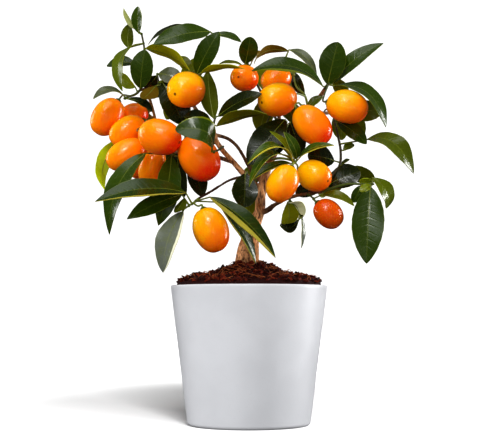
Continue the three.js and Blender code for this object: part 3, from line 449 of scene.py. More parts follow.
        ], {"fruit_20": [(-50, 269, 64)]}),
    "shoot_back_right": Shoot(
        "3a3a14", 1.1, [(70, 244, 56), (73, 246, 60), (75, 249, 63)], [
            Leaf((77, 248, 62), (97, 242, 78), 15, 150, 4, DARK),
            Leaf((74, 250, 61), (67, 270, 40), 12, -160, 3, MID),
            Leaf((76, 245, 64), (86, 222, 80), 16, 160, 4, DARK),
            Leaf((72, 245, 62), (72, 222, 74), 14, -165, 4, DARK),
        ], {"fruit_21": [(60, 246, 64)]}),
    "shoot_back_low_left": Shoot(
        "3a3a14", 1.1, [(-64, 215, 48), (-67, 218, 53), (-70, 220, 56)], [
            Leaf((-73, 222, 56), (-100, 230, 56), 16, -150, 4, MID),
            Leaf((-70, 217, 58), (-92, 196, 74), 17, -160, 5, DARK),
            Leaf((-66, 215, 56), (-64, 182, 70), 18, 165, 5, DARK),
            Leaf((-66, 218, 58), (-46, 204, 84), 16, 155, 5, MID),
            Leaf((-71, 223, 55), (-88, 246, 53), 13, -150, 3, DARK),
        ], {"fruit_22": [(-70, 228, 62)]}),
    "shoot_back_low_right": Shoot(
        "3a3a14", 1.1, [(64, 194, 50), (68, 195, 54), (71, 196, 57)], [
            Leaf((73, 196, 58), (98, 190, 68), 15, 150, 4, DARK),
            Leaf((70, 193, 57), (59, 182, 82), 13, 165, 3, MID),
            Leaf((67, 192, 56), (54, 180, 50), 14, -160, 4, DARK),
        ], {"fruit_23": [(60, 199, 55)]}),
    "shoot_back_mid": Shoot(
        "3a3a14", 1.0, [(-3, 182, 34), (-5, 183, 38), (-6, 185, 42)], [
            Leaf((-7, 187, 42), (-6, 172, 66), 15, 170, 3, DARK),
            Leaf((-5, 182, 42), (2, 158, 52), 15, 160, 4, MID),
            Leaf((-3, 186, 42), (12, 204, 56), 15, 160, 4, DARK),
        ], {}),
}


class LeafSurface:
    """The middle surface of a leaf's blade, from its base at 0 to its tip at 1."""

    def __init__(self, leaf: Leaf) -> None:
        """Places the blade.

        Args:
            leaf: The leaf as laid out on the drawing.
        """
        self.start = at(leaf.base)
        end = at(leaf.tip)
        depth = (leaf.base[2] + leaf.tip[2]) / 2
        self.bend = 4 * sized(leaf.arch, depth)
        self.half_width = sized(leaf.width / 2, depth)
        self.chord = end - self.start
        self.length = float(np.linalg.norm(self.chord))
        ahead = unit(self.chord)
        to_eye = EYE - (self.start + end) / 2
        to_eye = unit(to_eye - ahead * to_eye.dot(ahead))
        self.tip_power = min(max(1.2 - 1.8 * self.half_width / self.length, 0.6), 0.95)
        turn = math.radians(leaf.roll)
        self.face = to_eye * math.cos(turn) + np.cross(to_eye, ahead) * math.sin(turn)

    def outline(self, t: Rows) -> Rows:
        """Gives the share of the full width at places; a low tip power makes the tip blunt.

        Args:
            t: The places from base to tip, from 0 to 1.

        Returns:
            The share at each place.
        """
        widest = BASE_POWER / (BASE_POWER + self.tip_power)
        shape = t**BASE_POWER * (1 - t) ** self.tip_power
        return shape / (widest**BASE_POWER * (1 - widest) ** self.tip_power)

    def frames(self, t: Rows) -> tuple[Rows, Rows, Rows, Rows]:
        """Gives the blade's frame at places from base to tip.

        Args:
            t: The places, from 0 to 1.

        Returns:
            The points, the ways up, the ways to the right margin, and the half widths.
        """
        t = t[:, None]
        points = self.start + self.chord * t + self.face * self.bend * t * (1 - t)
        tangents = unit(self.chord + self.face * self.bend * (1 - 2 * t))
        ups = unit(self.face - tangents * (tangents @ self.face)[:, None])
        return points, ups, np.cross(tangents, ups), self.half_width * self.outline(t[:, 0])


def nearest_on(places: Rows, goal: Rows) -> Rows:
    """Gives the nearest of a twig's places to a goal, clear of the wood that it grows from.

    Args:
        places: The places along the twig.
        goal: The point to be near to.

    Returns:
        The place.
    """
    free = np.linalg.norm(places - places[0], axis=1) > ROOT_REACH
    free[-1] = True
    return places[free][np.argmin(np.linalg.norm(places[free] - goal, axis=1))]


# Working with objects


def take(*objects: Thing) -> Thing:
    """Selects these objects only and makes the first active.

    Args:
        *objects: The objects.

    Returns:
        The first of them.
    """
    for other in bpy.context.selected_objects:
        other.select_set(False)
    for chosen in objects:
        chosen.select_set(True)
    bpy.context.view_layer.objects.active = objects[0]
    return objects[0]


def fresh(add: Callable[..., object], **settings: object) -> Thing:
    """Adds an object with one of Blender's own tools, with nothing selected before.

    Args:
        add: The tool, such as bpy.ops.mesh.primitive_plane_add.
        **settings: What the tool is told.

    Returns:
        The new object.
    """
    for other in bpy.context.selected_objects:
        other.select_set(False)
    bpy.context.view_layer.objects.active = None
    add(**settings)
    return bpy.context.object


def copied(blank: Thing) -> Thing:
    """Copies a blank, with a mesh of its own.

    Args:
        blank: What is copied.

    Returns:
        The copy.
    """
    piece = blank.copy()
    piece.data = blank.data.copy()
    bpy.context.collection.objects.link(piece)
    return piece


def join(parts: list[Thing], name: str) -> Thing:
    """Joins meshes into the first of them.

    Args:
        parts: The meshes.
        name: The name of the whole.

    Returns:
        The whole.
    """
    whole = take(*parts)
    if len(parts) > 1:
        bpy.ops.object.join()
    whole.name = whole.data.name = name
    return whole


def apply_modifier(thing: Thing, kind: str, **settings: object) -> None:
    """Adds a modifier and applies it.

    Args:
        thing: The mesh that gets it.
        kind: The modifier's type.
        **settings: Its properties.
    """
    take(thing)
    modifier = thing.modifiers.new(kind.title(), kind)
    for key, value in settings.items():
        setattr(modifier, key, value)
    bpy.ops.object.modifier_apply(modifier=modifier.name)


def pull_rings(thing: Thing, radius: float, height: float, rings: list[tuple[float, float]]) -> None:
    """Pulls the round edge of a sheet from ring to ring and closes the last one.

    Args:
        thing: The sheet.
        radius: Its edge's radius, in millimetres.
        height: Its edge's height.
        rings: The radius and the height of each ring.
    """
    take(thing)
    bpy.ops.object.mode_set(mode="EDIT")
    bpy.ops.mesh.select_all(action="SELECT")
    bpy.ops.mesh.region_to_loop()
    for ring, level in rings:
        bpy.ops.mesh.extrude_edges_move(TRANSFORM_OT_translate={"value": (0, 0, (level - height) * MM)})
        share = ring / radius
        bpy.ops.transform.resize(value=(share, share, 1), center_override=(0, 0, level * MM))
        radius, height = ring, level
    bpy.ops.mesh.edge_face_add()
    bpy.ops.mesh.select_all(action="SELECT")
    bpy.ops.mesh.normals_make_consistent(inside=False)
    bpy.ops.object.mode_set(mode="OBJECT")


def corners(thing: Thing) -> Rows:
    """Gives a mesh's vertices, one a row.

    Args:
        thing: The mesh.

    Returns:
        The vertices' places.
    """
    flat = np.empty(len(thing.data.vertices) * 3)
    thing.data.vertices.foreach_get("co", flat)
    return flat.reshape(-1, 3)


def set_corners(thing: Thing, places: Rows) -> None:
    """Moves a mesh's vertices."""
    thing.data.vertices.foreach_set("co", places.astype(np.float32).ravel())
    thing.data.update()


def set_map(thing: Thing, along: Rows, across: Rows | None = None) -> None:
    """Sets where each vertex of a mesh lies on its flat map.

    Args:
        thing: The mesh.
        along: The places along the map, one a vertex.
        across: The places across it; without them these stay.
    """
    layer = thing.data.uv_layers.active
    layer.name = "UVMap"
    for loop in thing.data.loops:
        place = layer.data[loop.index].uv
        place[1] = along[loop.vertex_index]
        if across is not None:
            place[0] = across[loop.vertex_index]


def set_number(thing: Thing, name: str, values: Rows | float) -> None:
    """Stores a number at each vertex of a mesh under a name."""
    layer = thing.data.attributes.new(name, "FLOAT", "POINT")
    layer.data.foreach_set("value", np.broadcast_to(values, len(thing.data.vertices)).astype(np.float32))


def set_colour(thing: Thing, name: str, colour: tuple[float, ...]) -> None:
    """Stores one colour at all vertices of a mesh under a name."""
    layer = thing.data.attributes.new(name, "FLOAT_COLOR", "POINT")
    layer.data.foreach_set("color", np.tile(np.array(colour, np.float32), len(thing.data.vertices)))


def turned(places: Rows, axis: Rows) -> Rows:
    """Turns places so that what pointed up points along an axis."""
    return places @ np.array(Vector((0, 0, 1)).rotation_difference(Vector(axis)).to_matrix()).T


def tubes(routes: list[Route], resolution: int) -> Thing:
    """Models round stems along routes, as one mesh.

    Args:
        routes: For each stem its places and its radii, in millimetres.
        resolution: The curve's bevel resolution; 0 gives four sides.

    Returns:
        The mesh object.
    """
    stem = fresh(bpy.ops.curve.primitive_nurbs_path_add)
    stem.data.splines.clear()
    for places, radii in routes:
        spline = stem.data.splines.new("POLY")
        spline.points.add(len(places) - 1)
        spline.points.foreach_set("co", np.column_stack([places * MM, np.ones(len(places))]).ravel())
        spline.points.foreach_set("radius", radii * MM)
    stem.data.bevel_depth = 1.0
    stem.data.bevel_resolution = resolution
    stem.data.use_fill_caps = True
    take(stem)
    bpy.ops.object.convert(target="MESH")
    return bpy.context.object


def smooth(thing: Thing, angle: float) -> None:
    """Shades a mesh smooth up to an angle in degrees."""
    take(thing)
    bpy.ops.object.shade_smooth_by_angle(angle=math.radians(angle))


def hand_over(thing: Thing, slot: str, *nodes: str) -> None:
    """Gives a finished piece its body, hides the nodes that it stands for, and reports it.

    Args:
        thing: The piece.
        slot: Its slot in the record; not used.
        *nodes: The nodes that it stands for.
    """
    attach(thing, "root")
    if nodes:
        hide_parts(*nodes)
    thing.data.calc_loop_triangles()
    LOG.info("%s: %d triangles", thing.name, len(thing.data.loop_triangles))


def complete(thing: Thing, name: str, angle: float, material: Paint, slot: str, *nodes: str) -> None:
    """Names, smooths and dresses a piece of one material, and hands it over.

    Args:
        thing: The modelled piece.
        name: Its name.
        angle: The angle up to which it is shaded smooth, in degrees.
        material: Its material.
        slot: Its slot in the record.
        *nodes: The nodes that it stands for.
    """
    thing.name = thing.data.name = name
    smooth(thing, angle)
    thing.data.materials.append(material)
    hand_over(thing, slot, *nodes)


# Finishes


class Sheet:
    """A material's nodes, added one at a time."""

    def __init__(self, name: str) -> None:
        """Starts a material with a name.

        Args:
            name: The material's name.
        """
        self.material = bpy.data.materials.new(name)
        self.material.use_nodes = True
        self.tree = self.material.node_tree
        self.shader = self.tree.nodes["Principled BSDF"]

    def add(self, kind: str, inputs: dict[str | int, object], **settings: object) -> bpy.types.Node:
        """Adds a node.

        Args:
            kind: The node's type, without its prefix.
            inputs: Values or sockets for its inputs.
            **settings: Its properties.

        Returns:
            The node.
        """
        made = self.tree.nodes.new("ShaderNode" + kind)
        for key, value in settings.items():
            setattr(made, key, value)
        for key, value in inputs.items():
            self.put(made.inputs[key], value)
        return made

    def put(self, socket: Socket, value: object) -> None:
        """Links a socket to an input, or sets the input's value.

        Args:
            socket: The input.
            value: A socket to link, or a plain value.
        """
        if isinstance(value, Socket):
            self.tree.links.new(value, socket)
        else:
            socket.default_value = value

    def shade(self, **inputs: object) -> None:
        """Sets the shader's inputs; an underscore stands for a space."""
        for key, value in inputs.items():
            self.put(self.shader.inputs[key.replace("_", " ")], value)

    def math(self, operation: str, a: object, b: object = 0.0) -> Socket:
        """Adds a sum of two numbers."""
        return self.add("Math", {0: a, 1: b}, operation=operation).outputs[0]

    def remap(self, value: object, low: object, high: object, start: float = 0.0, end: float = 1.0) -> Socket:
        """Turns a value's range, from low to high, smoothly into another, from start to end."""
        inputs = {0: value, 1: low, 2: high, 3: start, 4: end}
        return self.add("MapRange", inputs, interpolation_type="SMOOTHSTEP").outputs[0]

    def mix(self, share: object, a: object, b: object, blend: str = "MIX") -> Socket:
        """Mixes a share of the colour b into the colour a."""
        return self.add("Mix", {0: share, 6: a, 7: b}, data_type="RGBA", blend_type=blend).outputs[2]

    def stain(self, base: object, share: object, hexed: str, blend: str = "MIX") -> Socket:
        """Mixes a share of a colour named by six hex digits into a base."""
        return self.mix(share, base, linear(hexed), blend)

    def mottle(self, noisy: Socket, start: float, end: float) -> Socket:
        """Turns noise, which mostly lies from 0.3 to 0.7, into a number from start to end."""
        return self.remap(noisy, 0.3, 0.7, start, end)

    def grain(self, scale: float, detail: float = 3.0, stretch: Place = (1, 1, 1)) -> Socket:
        """Adds noise over the piece.

        Args:
            scale: How many waves it has a metre.
            detail: How many finer noises are laid over it.
            stretch: A factor on its waves along each axis.

        Returns:
            The noise's strength, about 0.5.
        """
        place = self.add("TexCoord", {}).outputs["Object"]
        place = self.add("Mapping", {0: place, 3: stretch}).outputs[0]
        return self.add("TexNoise", {"Vector": place, "Scale": scale, "Detail": detail}).outputs["Fac"]

    def number(self, name: str) -> Socket:
        """Reads a number stored on the mesh."""
        return self.add("Attribute", {}, attribute_name=name).outputs["Fac"]

    def colour(self, name: str) -> Socket:
        """Reads a colour stored on the mesh."""
        return self.add("Attribute", {}, attribute_name=name).outputs["Color"]

    def bump(self, height: object, distance: float, strength: float = 1.0) -> None:
        """Gives the shader relief, with a height of that many metres."""
        made = self.add("Bump", {"Height": height, "Distance": distance, "Strength": strength})
        self.put(self.shader.inputs["Normal"], made.outputs[0])


@dataclass(frozen=True)
class BladeFinish:
    """One side of the leaves: glossy upper side or duller underside.

    Tint names the colour that each blade carries, pale is the colour of rib and margin, the
    margin's paleness being painted light along the lit edge, and relief is the depth of the side
    veins, in metres.
    """

    name: str
    tint: str
    pale: str
    rough: tuple[float, float]
    gloss: float
    relief: float
    sun: str = "b0b408"
    vein_slant: float = 0.9
    vein_share: float = 0.3
    strip_edge: float = 0.03
    strip_sheen_gain: Colour = (1.5, 1.45, 1.6, 1.0)

    def make(self) -> Paint:
        """Makes the material.

        Returns:
            The material.
        """
        sheet = Sheet(self.name)
        uv = sheet.add("UVMap", {}, uv_map="UVMap").outputs[0]
        split = sheet.add("SeparateXYZ", {0: uv})
        signed = sheet.math("MULTIPLY", sheet.math("SUBTRACT", split.outputs[0], 0.5), 2.0)
        across = sheet.math("ABSOLUTE", signed)
        along = split.outputs[1]
        lean = sheet.math("MULTIPLY", across, self.vein_slant)
        phase = sheet.math("SUBTRACT", sheet.math("MULTIPLY", along, sheet.number("veins")), lean)
        turn = sheet.math("FRACT", sheet.math("ADD", phase, 4.0))
        off = sheet.math("ABSOLUTE", sheet.math("SUBTRACT", turn, 0.5))
        vein = sheet.math("MULTIPLY", sheet.remap(off, 0.0, 0.16, 1, 0), sheet.remap(across, 0.1, 1.0, 1, 0))
        rib = sheet.remap(across, 0.01, 0.08, 1, 0)
        # Painted light: the pale margin stands for light catching the blade's edge.
        lit_margin = sheet.remap(across, 0.92, 1.0)
        blotch = sheet.remap(sheet.grain(120, 4), 0.35, 0.7, 0, 0.35)
        base = sheet.stain(sheet.colour(self.tint), blotch, self.sun, "SOFT_LIGHT")
        deep = sheet.stain(base, 0.45, "000000")
        base = sheet.mix(sheet.remap(sheet.grain(45, 2), 0.3, 0.75, 0, 0.6), base, deep)
        faint = sheet.math("MULTIPLY", vein, self.vein_share)
        lines = sheet.math("MAXIMUM", faint, sheet.math("MAXIMUM", rib, lit_margin))
        base = sheet.stain(base, sheet.math("MULTIPLY", lines, sheet.number("pale")), self.pale)
        strip = sheet.number("strip")
        inner = sheet.math("SUBTRACT", 1.0, sheet.math("ABSOLUTE", strip))
        toward = sheet.math("MULTIPLY", signed, sheet.math("SIGN", strip))
        low, high = (sheet.math(sign, inner, self.strip_edge) for sign in ("SUBTRACT", "ADD"))
        # Painted sheen: the strip takes the underside's colour, made lighter and bluer.
        light = sheet.mix(1.0, sheet.colour("under_tint"), self.strip_sheen_gain, "MULTIPLY")
        base = sheet.mix(sheet.remap(toward, low, high), base, light)
        fine = sheet.math("MULTIPLY", sheet.grain(2600, 2), 0.12)
        sheet.bump(sheet.math("ADD", sheet.math("MULTIPLY", vein, -0.5), fine), self.relief)
        rough = sheet.mottle(sheet.grain(300, 3), *self.rough)
        sheet.shade(Base_Color=base, Roughness=rough, Specular_IOR_Level=self.gloss)
        return sheet.material


@dataclass(frozen=True)
class StemFinish:
    """Green twigs, petioles, stalks and calyxes."""

    name: str
    rough: float
    light: str = "8a8440"

    def make(self) -> Paint:
        """Makes the material.

        Returns:
            The material.
        """
        sheet = Sheet(self.name)
        streak = sheet.grain(900, 3, (1, 1, 0.3))
        share = sheet.remap(streak, 0.35, 0.7, 0, 0.5)
        base = sheet.stain(sheet.colour("stem_tint"), share, self.light, "SOFT_LIGHT")
        sheet.bump(streak, 0.0003, 0.6)
        sheet.shade(Base_Color=base, Roughness=self.rough)
        return sheet.material


@dataclass(frozen=True)
class PeelFinish:
    """Kumquat peel: glossy, finely pitted, from yellow-orange to red-orange, the reds partly painted shade.
    """

    name: str = "kumquat_peel"
    pale: str = "ffb400"
    mid: str = "ff8000"
    red: str = "fb3800"
    deep: str = "d05200"
    pit: str = "ffa000"
    scar: str = "3a2208"
    collar: str = "b98a10"

    def make(self) -> Paint:
        """Makes the material.

        Returns:
            The material.
        """
        sheet = Sheet(self.name)
        uneven = sheet.math("MULTIPLY", sheet.math("SUBTRACT", sheet.grain(70, 3), 0.5), 0.5)
        ripe_and_shade = sheet.math("ADD", sheet.number("redness_and_shade"), uneven)
        base = linear(self.pale)
        # The redder colours are partly ripeness and partly painted shade; the deep colour is painted shade.
        for low, high, hexed in ((0.0, 0.5, self.mid), (0.5, 1.1, self.red), (1.1, 1.7, self.deep)):
            base = sheet.stain(base, sheet.remap(ripe_and_shade, low, high), hexed)
        place = sheet.add("TexCoord", {}).outputs["Object"]
        cells = sheet.add("TexVoronoi", {"Vector": place, "Scale": 900.0}, feature="SMOOTH_F1")
        pit = sheet.remap(cells.outputs["Distance"], 0.0, 0.45, 1, 0)
        base = sheet.stain(base, sheet.math("MULTIPLY", pit, 0.2), self.pit)
        uv = sheet.add("UVMap", {}, uv_map="UVMap").outputs[0]
        height = sheet.add("SeparateXYZ", {0: uv}).outputs[1]
        scar = sheet.remap(height, 0.012, 0.03, 1, 0)
        base = sheet.stain(base, sheet.math("MULTIPLY", scar, 0.85), self.scar)
        base = sheet.stain(base, sheet.remap(height, 0.93, 0.99, 0, 0.5), self.collar)
        sheet.bump(sheet.math("MULTIPLY", pit, -1.0), 0.00011, 0.9)
        sheet.shade(
            Base_Color=base, Roughness=sheet.mottle(sheet.grain(500, 2), 0.15, 0.22),
            Subsurface_Weight=0.4, Subsurface_Radius=(1.0, 0.3, 0.06), Subsurface_Scale=0.005,
            Specular_IOR_Level=0.42,
        )
        return sheet.material


@dataclass(frozen=True)
class BarkFinish:
    """Rough brown bark, darker low down and in its cracks, where the darkness is partly the bark's own colour
    and partly painted shade.
    """

    name: str = "kumquat_bark"
    light: str = "f0b480"
    mid: str = "b8743e"
    dark: str = "24120a"

    def make(self) -> Paint:
        """Makes the material.

        Returns:
            The material.
        """
        sheet = Sheet(self.name)
        broad = sheet.grain(160, 5, (1, 1, 0.45))
        fine = sheet.grain(700, 5, (1, 1, 0.3))
        base = sheet.stain(linear(self.mid), sheet.remap(broad, 0.32, 0.6), self.light)
        # The cracks are darkened partly in the bark's own colour and partly as painted shade in the recesses.
        crack = sheet.math("MULTIPLY", sheet.number("crack"), 0.8)
        # The bark is darker towards the foot, in the fork's knot and on the thin limbs.
        for share in (sheet.remap(fine, 0.3, 0.55, 0.9, 0), sheet.number("darkness"), crack):
            base = sheet.stain(base, share, self.dark)
        sheet.bump(sheet.math("ADD", fine, sheet.math("MULTIPLY", broad, 0.6)), 0.0012, 0.9)
        sheet.shade(Base_Color=base, Roughness=sheet.mottle(fine, 0.62, 0.9), Specular_IOR_Level=0.25)
        return sheet.material


@dataclass(frozen=True)
class SoilFinish:
    """Damp bark chips and coir, from near black to reddish tan."""

    name: str
    dark: str
    light: str

    def make(self) -> Paint:
        """Makes the material.

        Returns:
            The material.
        """
        sheet = Sheet(self.name)
        grain = sheet.grain(1100, 4)
        base = sheet.stain(linear(self.dark), sheet.number("warmth"), self.light)
        base = sheet.stain(base, sheet.remap(grain, 0.35, 0.7, 0, 0.7), self.dark)
        sheet.bump(grain, 0.0006, 0.8)
        sheet.shade(Base_Color=base, Roughness=sheet.mottle(grain, 0.6, 0.9), Specular_IOR_Level=0.2)
        return sheet.material


@dataclass(frozen=True)
class GlazeFinish:
    """Smooth satin grey-white glaze with faint specks."""

    name: str = "planter_glaze"
    light: str = "dadbdf"
    cloud: str = "d2d3d7"
    speck: str = "9c9da2"

    def make(self) -> Paint:
        """Makes the material.

        Returns:
            The material.
        """
        sheet = Sheet(self.name)
        base = sheet.stain(linear(self.light), sheet.remap(sheet.grain(18, 3), 0.35, 0.65), self.cloud)
        base = sheet.stain(base, sheet.remap(sheet.grain(1500, 1), 0.7, 0.78, 0, 0.25), self.speck)
        sheet.bump(sheet.grain(260, 4), 0.00012, 0.5)
        rough = sheet.mottle(sheet.grain(90, 3), 0.36, 0.46)
        sheet.shade(Base_Color=base, Roughness=rough, Coat_Weight=0.15, Coat_Roughness=0.3)
        return sheet.material


@dataclass(frozen=True)
class FloorFinish:
    """The plain pale floor, which runs into the bright surroundings.

    Glow is its own light near the pot, near and far are where that starts and ends to rise to
    full white, in metres, and bounce is how much light it gives back to the pot.
    """

    name: str = "floor"
    glow: float = 0.1
    bounce: float = 0.08
    near: float = 0.4
    far: float = 0.85

    def make(self) -> Paint:
        """Makes the material.

        Returns:
            The material.
        """
        sheet = Sheet(self.name)
        base = sheet.mix(sheet.mottle(sheet.grain(4, 2), 0, 1), (0.9, 0.9, 0.9, 1), (0.92, 0.92, 0.92, 1))
        place = sheet.add("TexCoord", {}).outputs["Object"]
        wide = sheet.add("VectorMath", {0: place, 1: (2, 1, 1)}, operation="MULTIPLY").outputs["Vector"]
        reach = sheet.add("VectorMath", {0: wide}, operation="LENGTH").outputs["Value"]
        seen = sheet.add("LightPath", {}).outputs["Is Camera Ray"]
        glow = sheet.math("MULTIPLY", sheet.remap(reach, self.near, self.far, self.glow, 1.0), seen)
        base = sheet.mix(seen, (self.bounce, self.bounce, self.bounce, 1), base)
        sheet.shade(
            Base_Color=base, Roughness=0.9, Specular_IOR_Level=0.1,
            Emission_Color=(1, 1, 1, 1), Emission_Strength=glow,
        )
        return sheet.material


# Sub-assemblies


@dataclass
class Planter:
    """The tapered pot, turned from ring to ring. Sizes in millimetres."""

    sides: int = 128
    lip: float = 1.1
    foot: float = 3.0
    foot_swell: float = 0.3
    lip_inset: float = 0.1
    outer_rings: tuple[float, ...] = (8, 30, 55, 80, 100, POT_HEIGHT - 3)
    inner_rings: tuple[float, ...] = (95, 60, POT_FLOOR)

    def profile(self) -> list[tuple[float, float]]:
        """Gives the rings from the foot over the lip to the inner floor.

        Returns:
            The radius and the height of each.
        """
        arc = [(math.sin(math.radians(turn)), math.cos(math.radians(turn))) for turn in range(0, 91, 15)]
        bend = self.foot + self.foot_swell
        foot = [(BASE_RADIUS - self.foot + s * bend, self.foot * (1 - c)) for s, c in arc[1:]]
        wall = [(BASE_RADIUS + POT_SLOPE * z, z) for z in self.outer_rings]
        rim = RIM_RADIUS - self.lip_inset
        outer = [(rim - self.lip * (1 - c), POT_HEIGHT - self.lip * (1 - s)) for s, c in arc]
        inner = [(BORE + self.lip * (1 - s), POT_HEIGHT - self.lip * (1 - c)) for s, c in arc[1:]]
        inside = [(BASE_RADIUS + POT_SLOPE * z - POT_WALL, z) for z in self.inner_rings]
        return foot + wall + outer + inner + inside

    def build(self, glaze: Paint) -> None:
        """Models the pot and hands it over.

        Args:
            glaze: Its material.
        """
        radius = BASE_RADIUS - self.foot
        pot = fresh(
            bpy.ops.mesh.primitive_circle_add, vertices=self.sides, radius=radius * MM, fill_type="NGON"
        )
        pull_rings(pot, radius, 0.0, self.profile())
        complete(pot, "planter", 35, glaze, "ceramic", "pot")


@dataclass
class Soil:
    """The mound of bark and coir, with loose chips and fibres on it. Sizes in millimetres."""

    rows: int = 90
    chips: int = 1300
    fibres: int = 260
    seed: int = 41
    hollow: float = 2.8
    climb: float = 3.2
    crumble: float = 1.5
    jag: float = 0.17
    chip_spans: tuple[tuple[float, float], ...] = ((1.6, 4.6), (1.0, 2.4), (0.6, 1.3))
    chip_margin: float = 1.6
    fibre_margin: float = 6.0
    fibre_taper: tuple[float, ...] = (0.5, 0.9, 1, 1, 1, 0.8, 0.4)

    def height(self, x: Rows, y: Rows) -> Rows:
        """Gives the height of the soil's top: hollow half way out, climbing at the trunk.

        Args:
            x: The places across.
            y: The places away from the eye.

        Returns:
            The height at each place.
        """
        radius = np.hypot(x, y) / BORE
        lumps = np.sin(x * 0.31 + 1.7) * np.cos(y * 0.27 - 0.6) + 0.7 * np.sin(x * 0.13 - y * 0.22)
        hollow = self.hollow * np.exp(-(((radius - 0.55) / 0.22) ** 2))
        climb = self.climb * np.exp(-((radius / 0.24) ** 2))
        dome = SOIL_EDGE_HEIGHT + SOIL_MOUND * (1 - radius**2.2)
        return dome - hollow + climb + SOIL_CRUMB * lumps * (1 - radius**6)

    def build(self) -> None:
        """Models the mound, the chips and the fibres and hands them over."""
        self.build_mound()
        self.build_chips()
        self.build_fibres()

    def build_mound(self) -> None:
        """Models the filling of the pot."""
        top = BASE_RADIUS + POT_SLOPE * SOIL_LINE - POT_WALL - GAP
        foot = BASE_RADIUS + POT_SLOPE * POT_FLOOR - POT_WALL - GAP
        mound = fresh(
            bpy.ops.mesh.primitive_grid_add, x_subdivisions=self.rows, y_subdivisions=self.rows, size=2
        )
        flat = corners(mound)[:, :2]
        reach = np.abs(flat).max(1)
        length = np.maximum(np.linalg.norm(flat, axis=1), 1e-9)
        x, y = (flat * (reach / length)[:, None] * top).T
        z = self.height(x, y)
        for i, (px, py) in enumerate(zip(x, y)):
            rough = noise.fractal(Vector((px * 0.28, py * 0.28, 3.0)), 1.0, 2.0, 4)
            z[i] += self.crumble * rough * (1 - reach[i] ** 8)
        z[reach > 0.999] = SOIL_LINE
        set_corners(mound, np.column_stack([x, y, z]) * MM)
        pull_rings(mound, top, SOIL_LINE, [(foot, POT_FLOOR + GAP)])
        set_number(mound, "warmth", 0.12)
        complete(mound, "soil_mound", 60, SoilFinish("soil_crumb", "200403", "4c140a").make(), "soil", "soil")

    def chip_blanks(self, draw: random.Random) -> list[tuple[Rows, list[tuple[int, ...]]]]:
        """Models five jagged unit chips.

        Args:
            draw: The seeded draws.

        Returns:
            The corners and the faces of each.
        """
        blanks = []
        for _ in range(5):
            blank = fresh(bpy.ops.mesh.primitive_cube_add, size=1)
            bpy.ops.object.mode_set(mode="EDIT")
            bpy.ops.mesh.select_all(action="SELECT")
            bpy.ops.mesh.subdivide(number_cuts=1, smoothness=0.4)
            bpy.ops.object.mode_set(mode="OBJECT")
            shape = corners(blank)
            shape = shape + np.array([[draw.uniform(-self.jag, self.jag) for _ in range(3)] for _ in shape])
            blanks.append((shape, [tuple(p.vertices) for p in blank.data.polygons]))
            bpy.data.objects.remove(blank)
        return blanks

    def build_chips(self) -> None:
        """Models loose chips of bark, lying on the mound at every angle."""
        draw = random.Random(self.seed)
        blanks = self.chip_blanks(draw)
        places, faces, warmth = [], [], []
        for _ in range(self.chips):
            shape, sides = blanks[draw.randrange(len(blanks))]
            turn, out = draw.uniform(0, 2 * math.pi), (BORE - self.chip_margin) * draw.random() ** 0.55
            x, y = out * math.cos(turn), out * math.sin(turn)
            size = draw.uniform(0.7, 1.25)
            scale = np.array([draw.uniform(*span) for span in self.chip_spans]) * size
            roll, pitch, yaw = draw.gauss(0, 0.4), draw.gauss(0, 0.4), draw.uniform(0, 6.3)
            about_z, about_y, about_x = (
                Matrix.Rotation(angle, 3, axis) for angle, axis in ((yaw, "Z"), (pitch, "Y"), (roll, "X"))
            )
            z = float(self.height(x, y)) + draw.uniform(-0.3, 1.2) * (1 - (out / RIM_RADIUS) ** 4)
            start = len(warmth)
            places.append((shape * scale) @ np.array(about_z @ about_y @ about_x).T + np.array([x, y, z]))
            faces.extend(tuple(v + start for v in side) for side in sides)
            warmth.extend([draw.random() ** 2.2] * len(shape))
        chips = fresh(bpy.ops.mesh.primitive_cube_add)
        chips.data.clear_geometry()
        chips.data.from_pydata((np.concatenate(places) * MM).tolist(), [], faces)
        set_number(chips, "warmth", np.array(warmth))
        complete(chips, "soil_chips", 45, SoilFinish("bark_chip", "240503", "843016").make(), "soil")

    def build_fibres(self) -> None:
        """Models curved coir fibres lying over the chips."""
        draw = random.Random(self.seed + 1)
        routes = []
        for _ in range(self.fibres):
            turn, out = draw.uniform(0, 2 * math.pi), (BORE - self.fibre_margin) * draw.random() ** 0.6
            heading, curl = draw.uniform(0, 2 * math.pi), draw.uniform(-0.35, 0.35)
            step = draw.uniform(0.9, 2.4)
            x, y = out * math.cos(turn), out * math.sin(turn)
            hop = draw.uniform(0.6, 2.2)
            places = []
            for k in range(len(self.fibre_taper)):
                shrink = min(1.0, (BORE - 2) / max(math.hypot(x, y), 1e-6))
                x, y = x * shrink, y * shrink
                places.append((x, y, float(self.height(x, y)) + 0.7 + hop * math.sin(math.pi * k / 6)))
                x, y = x + step * math.cos(heading), y + step * math.sin(heading)
                heading += curl
            routes.append((np.array(places), draw.uniform(0.14, 0.3) * np.array(self.fibre_taper)))
        coir = tubes(routes, 0)
        set_number(coir, "warmth", 0.6)
        complete(coir, "soil_fibres", 80, SoilFinish("coir_fibre", "48160a", "c87a48").make(), "soil")


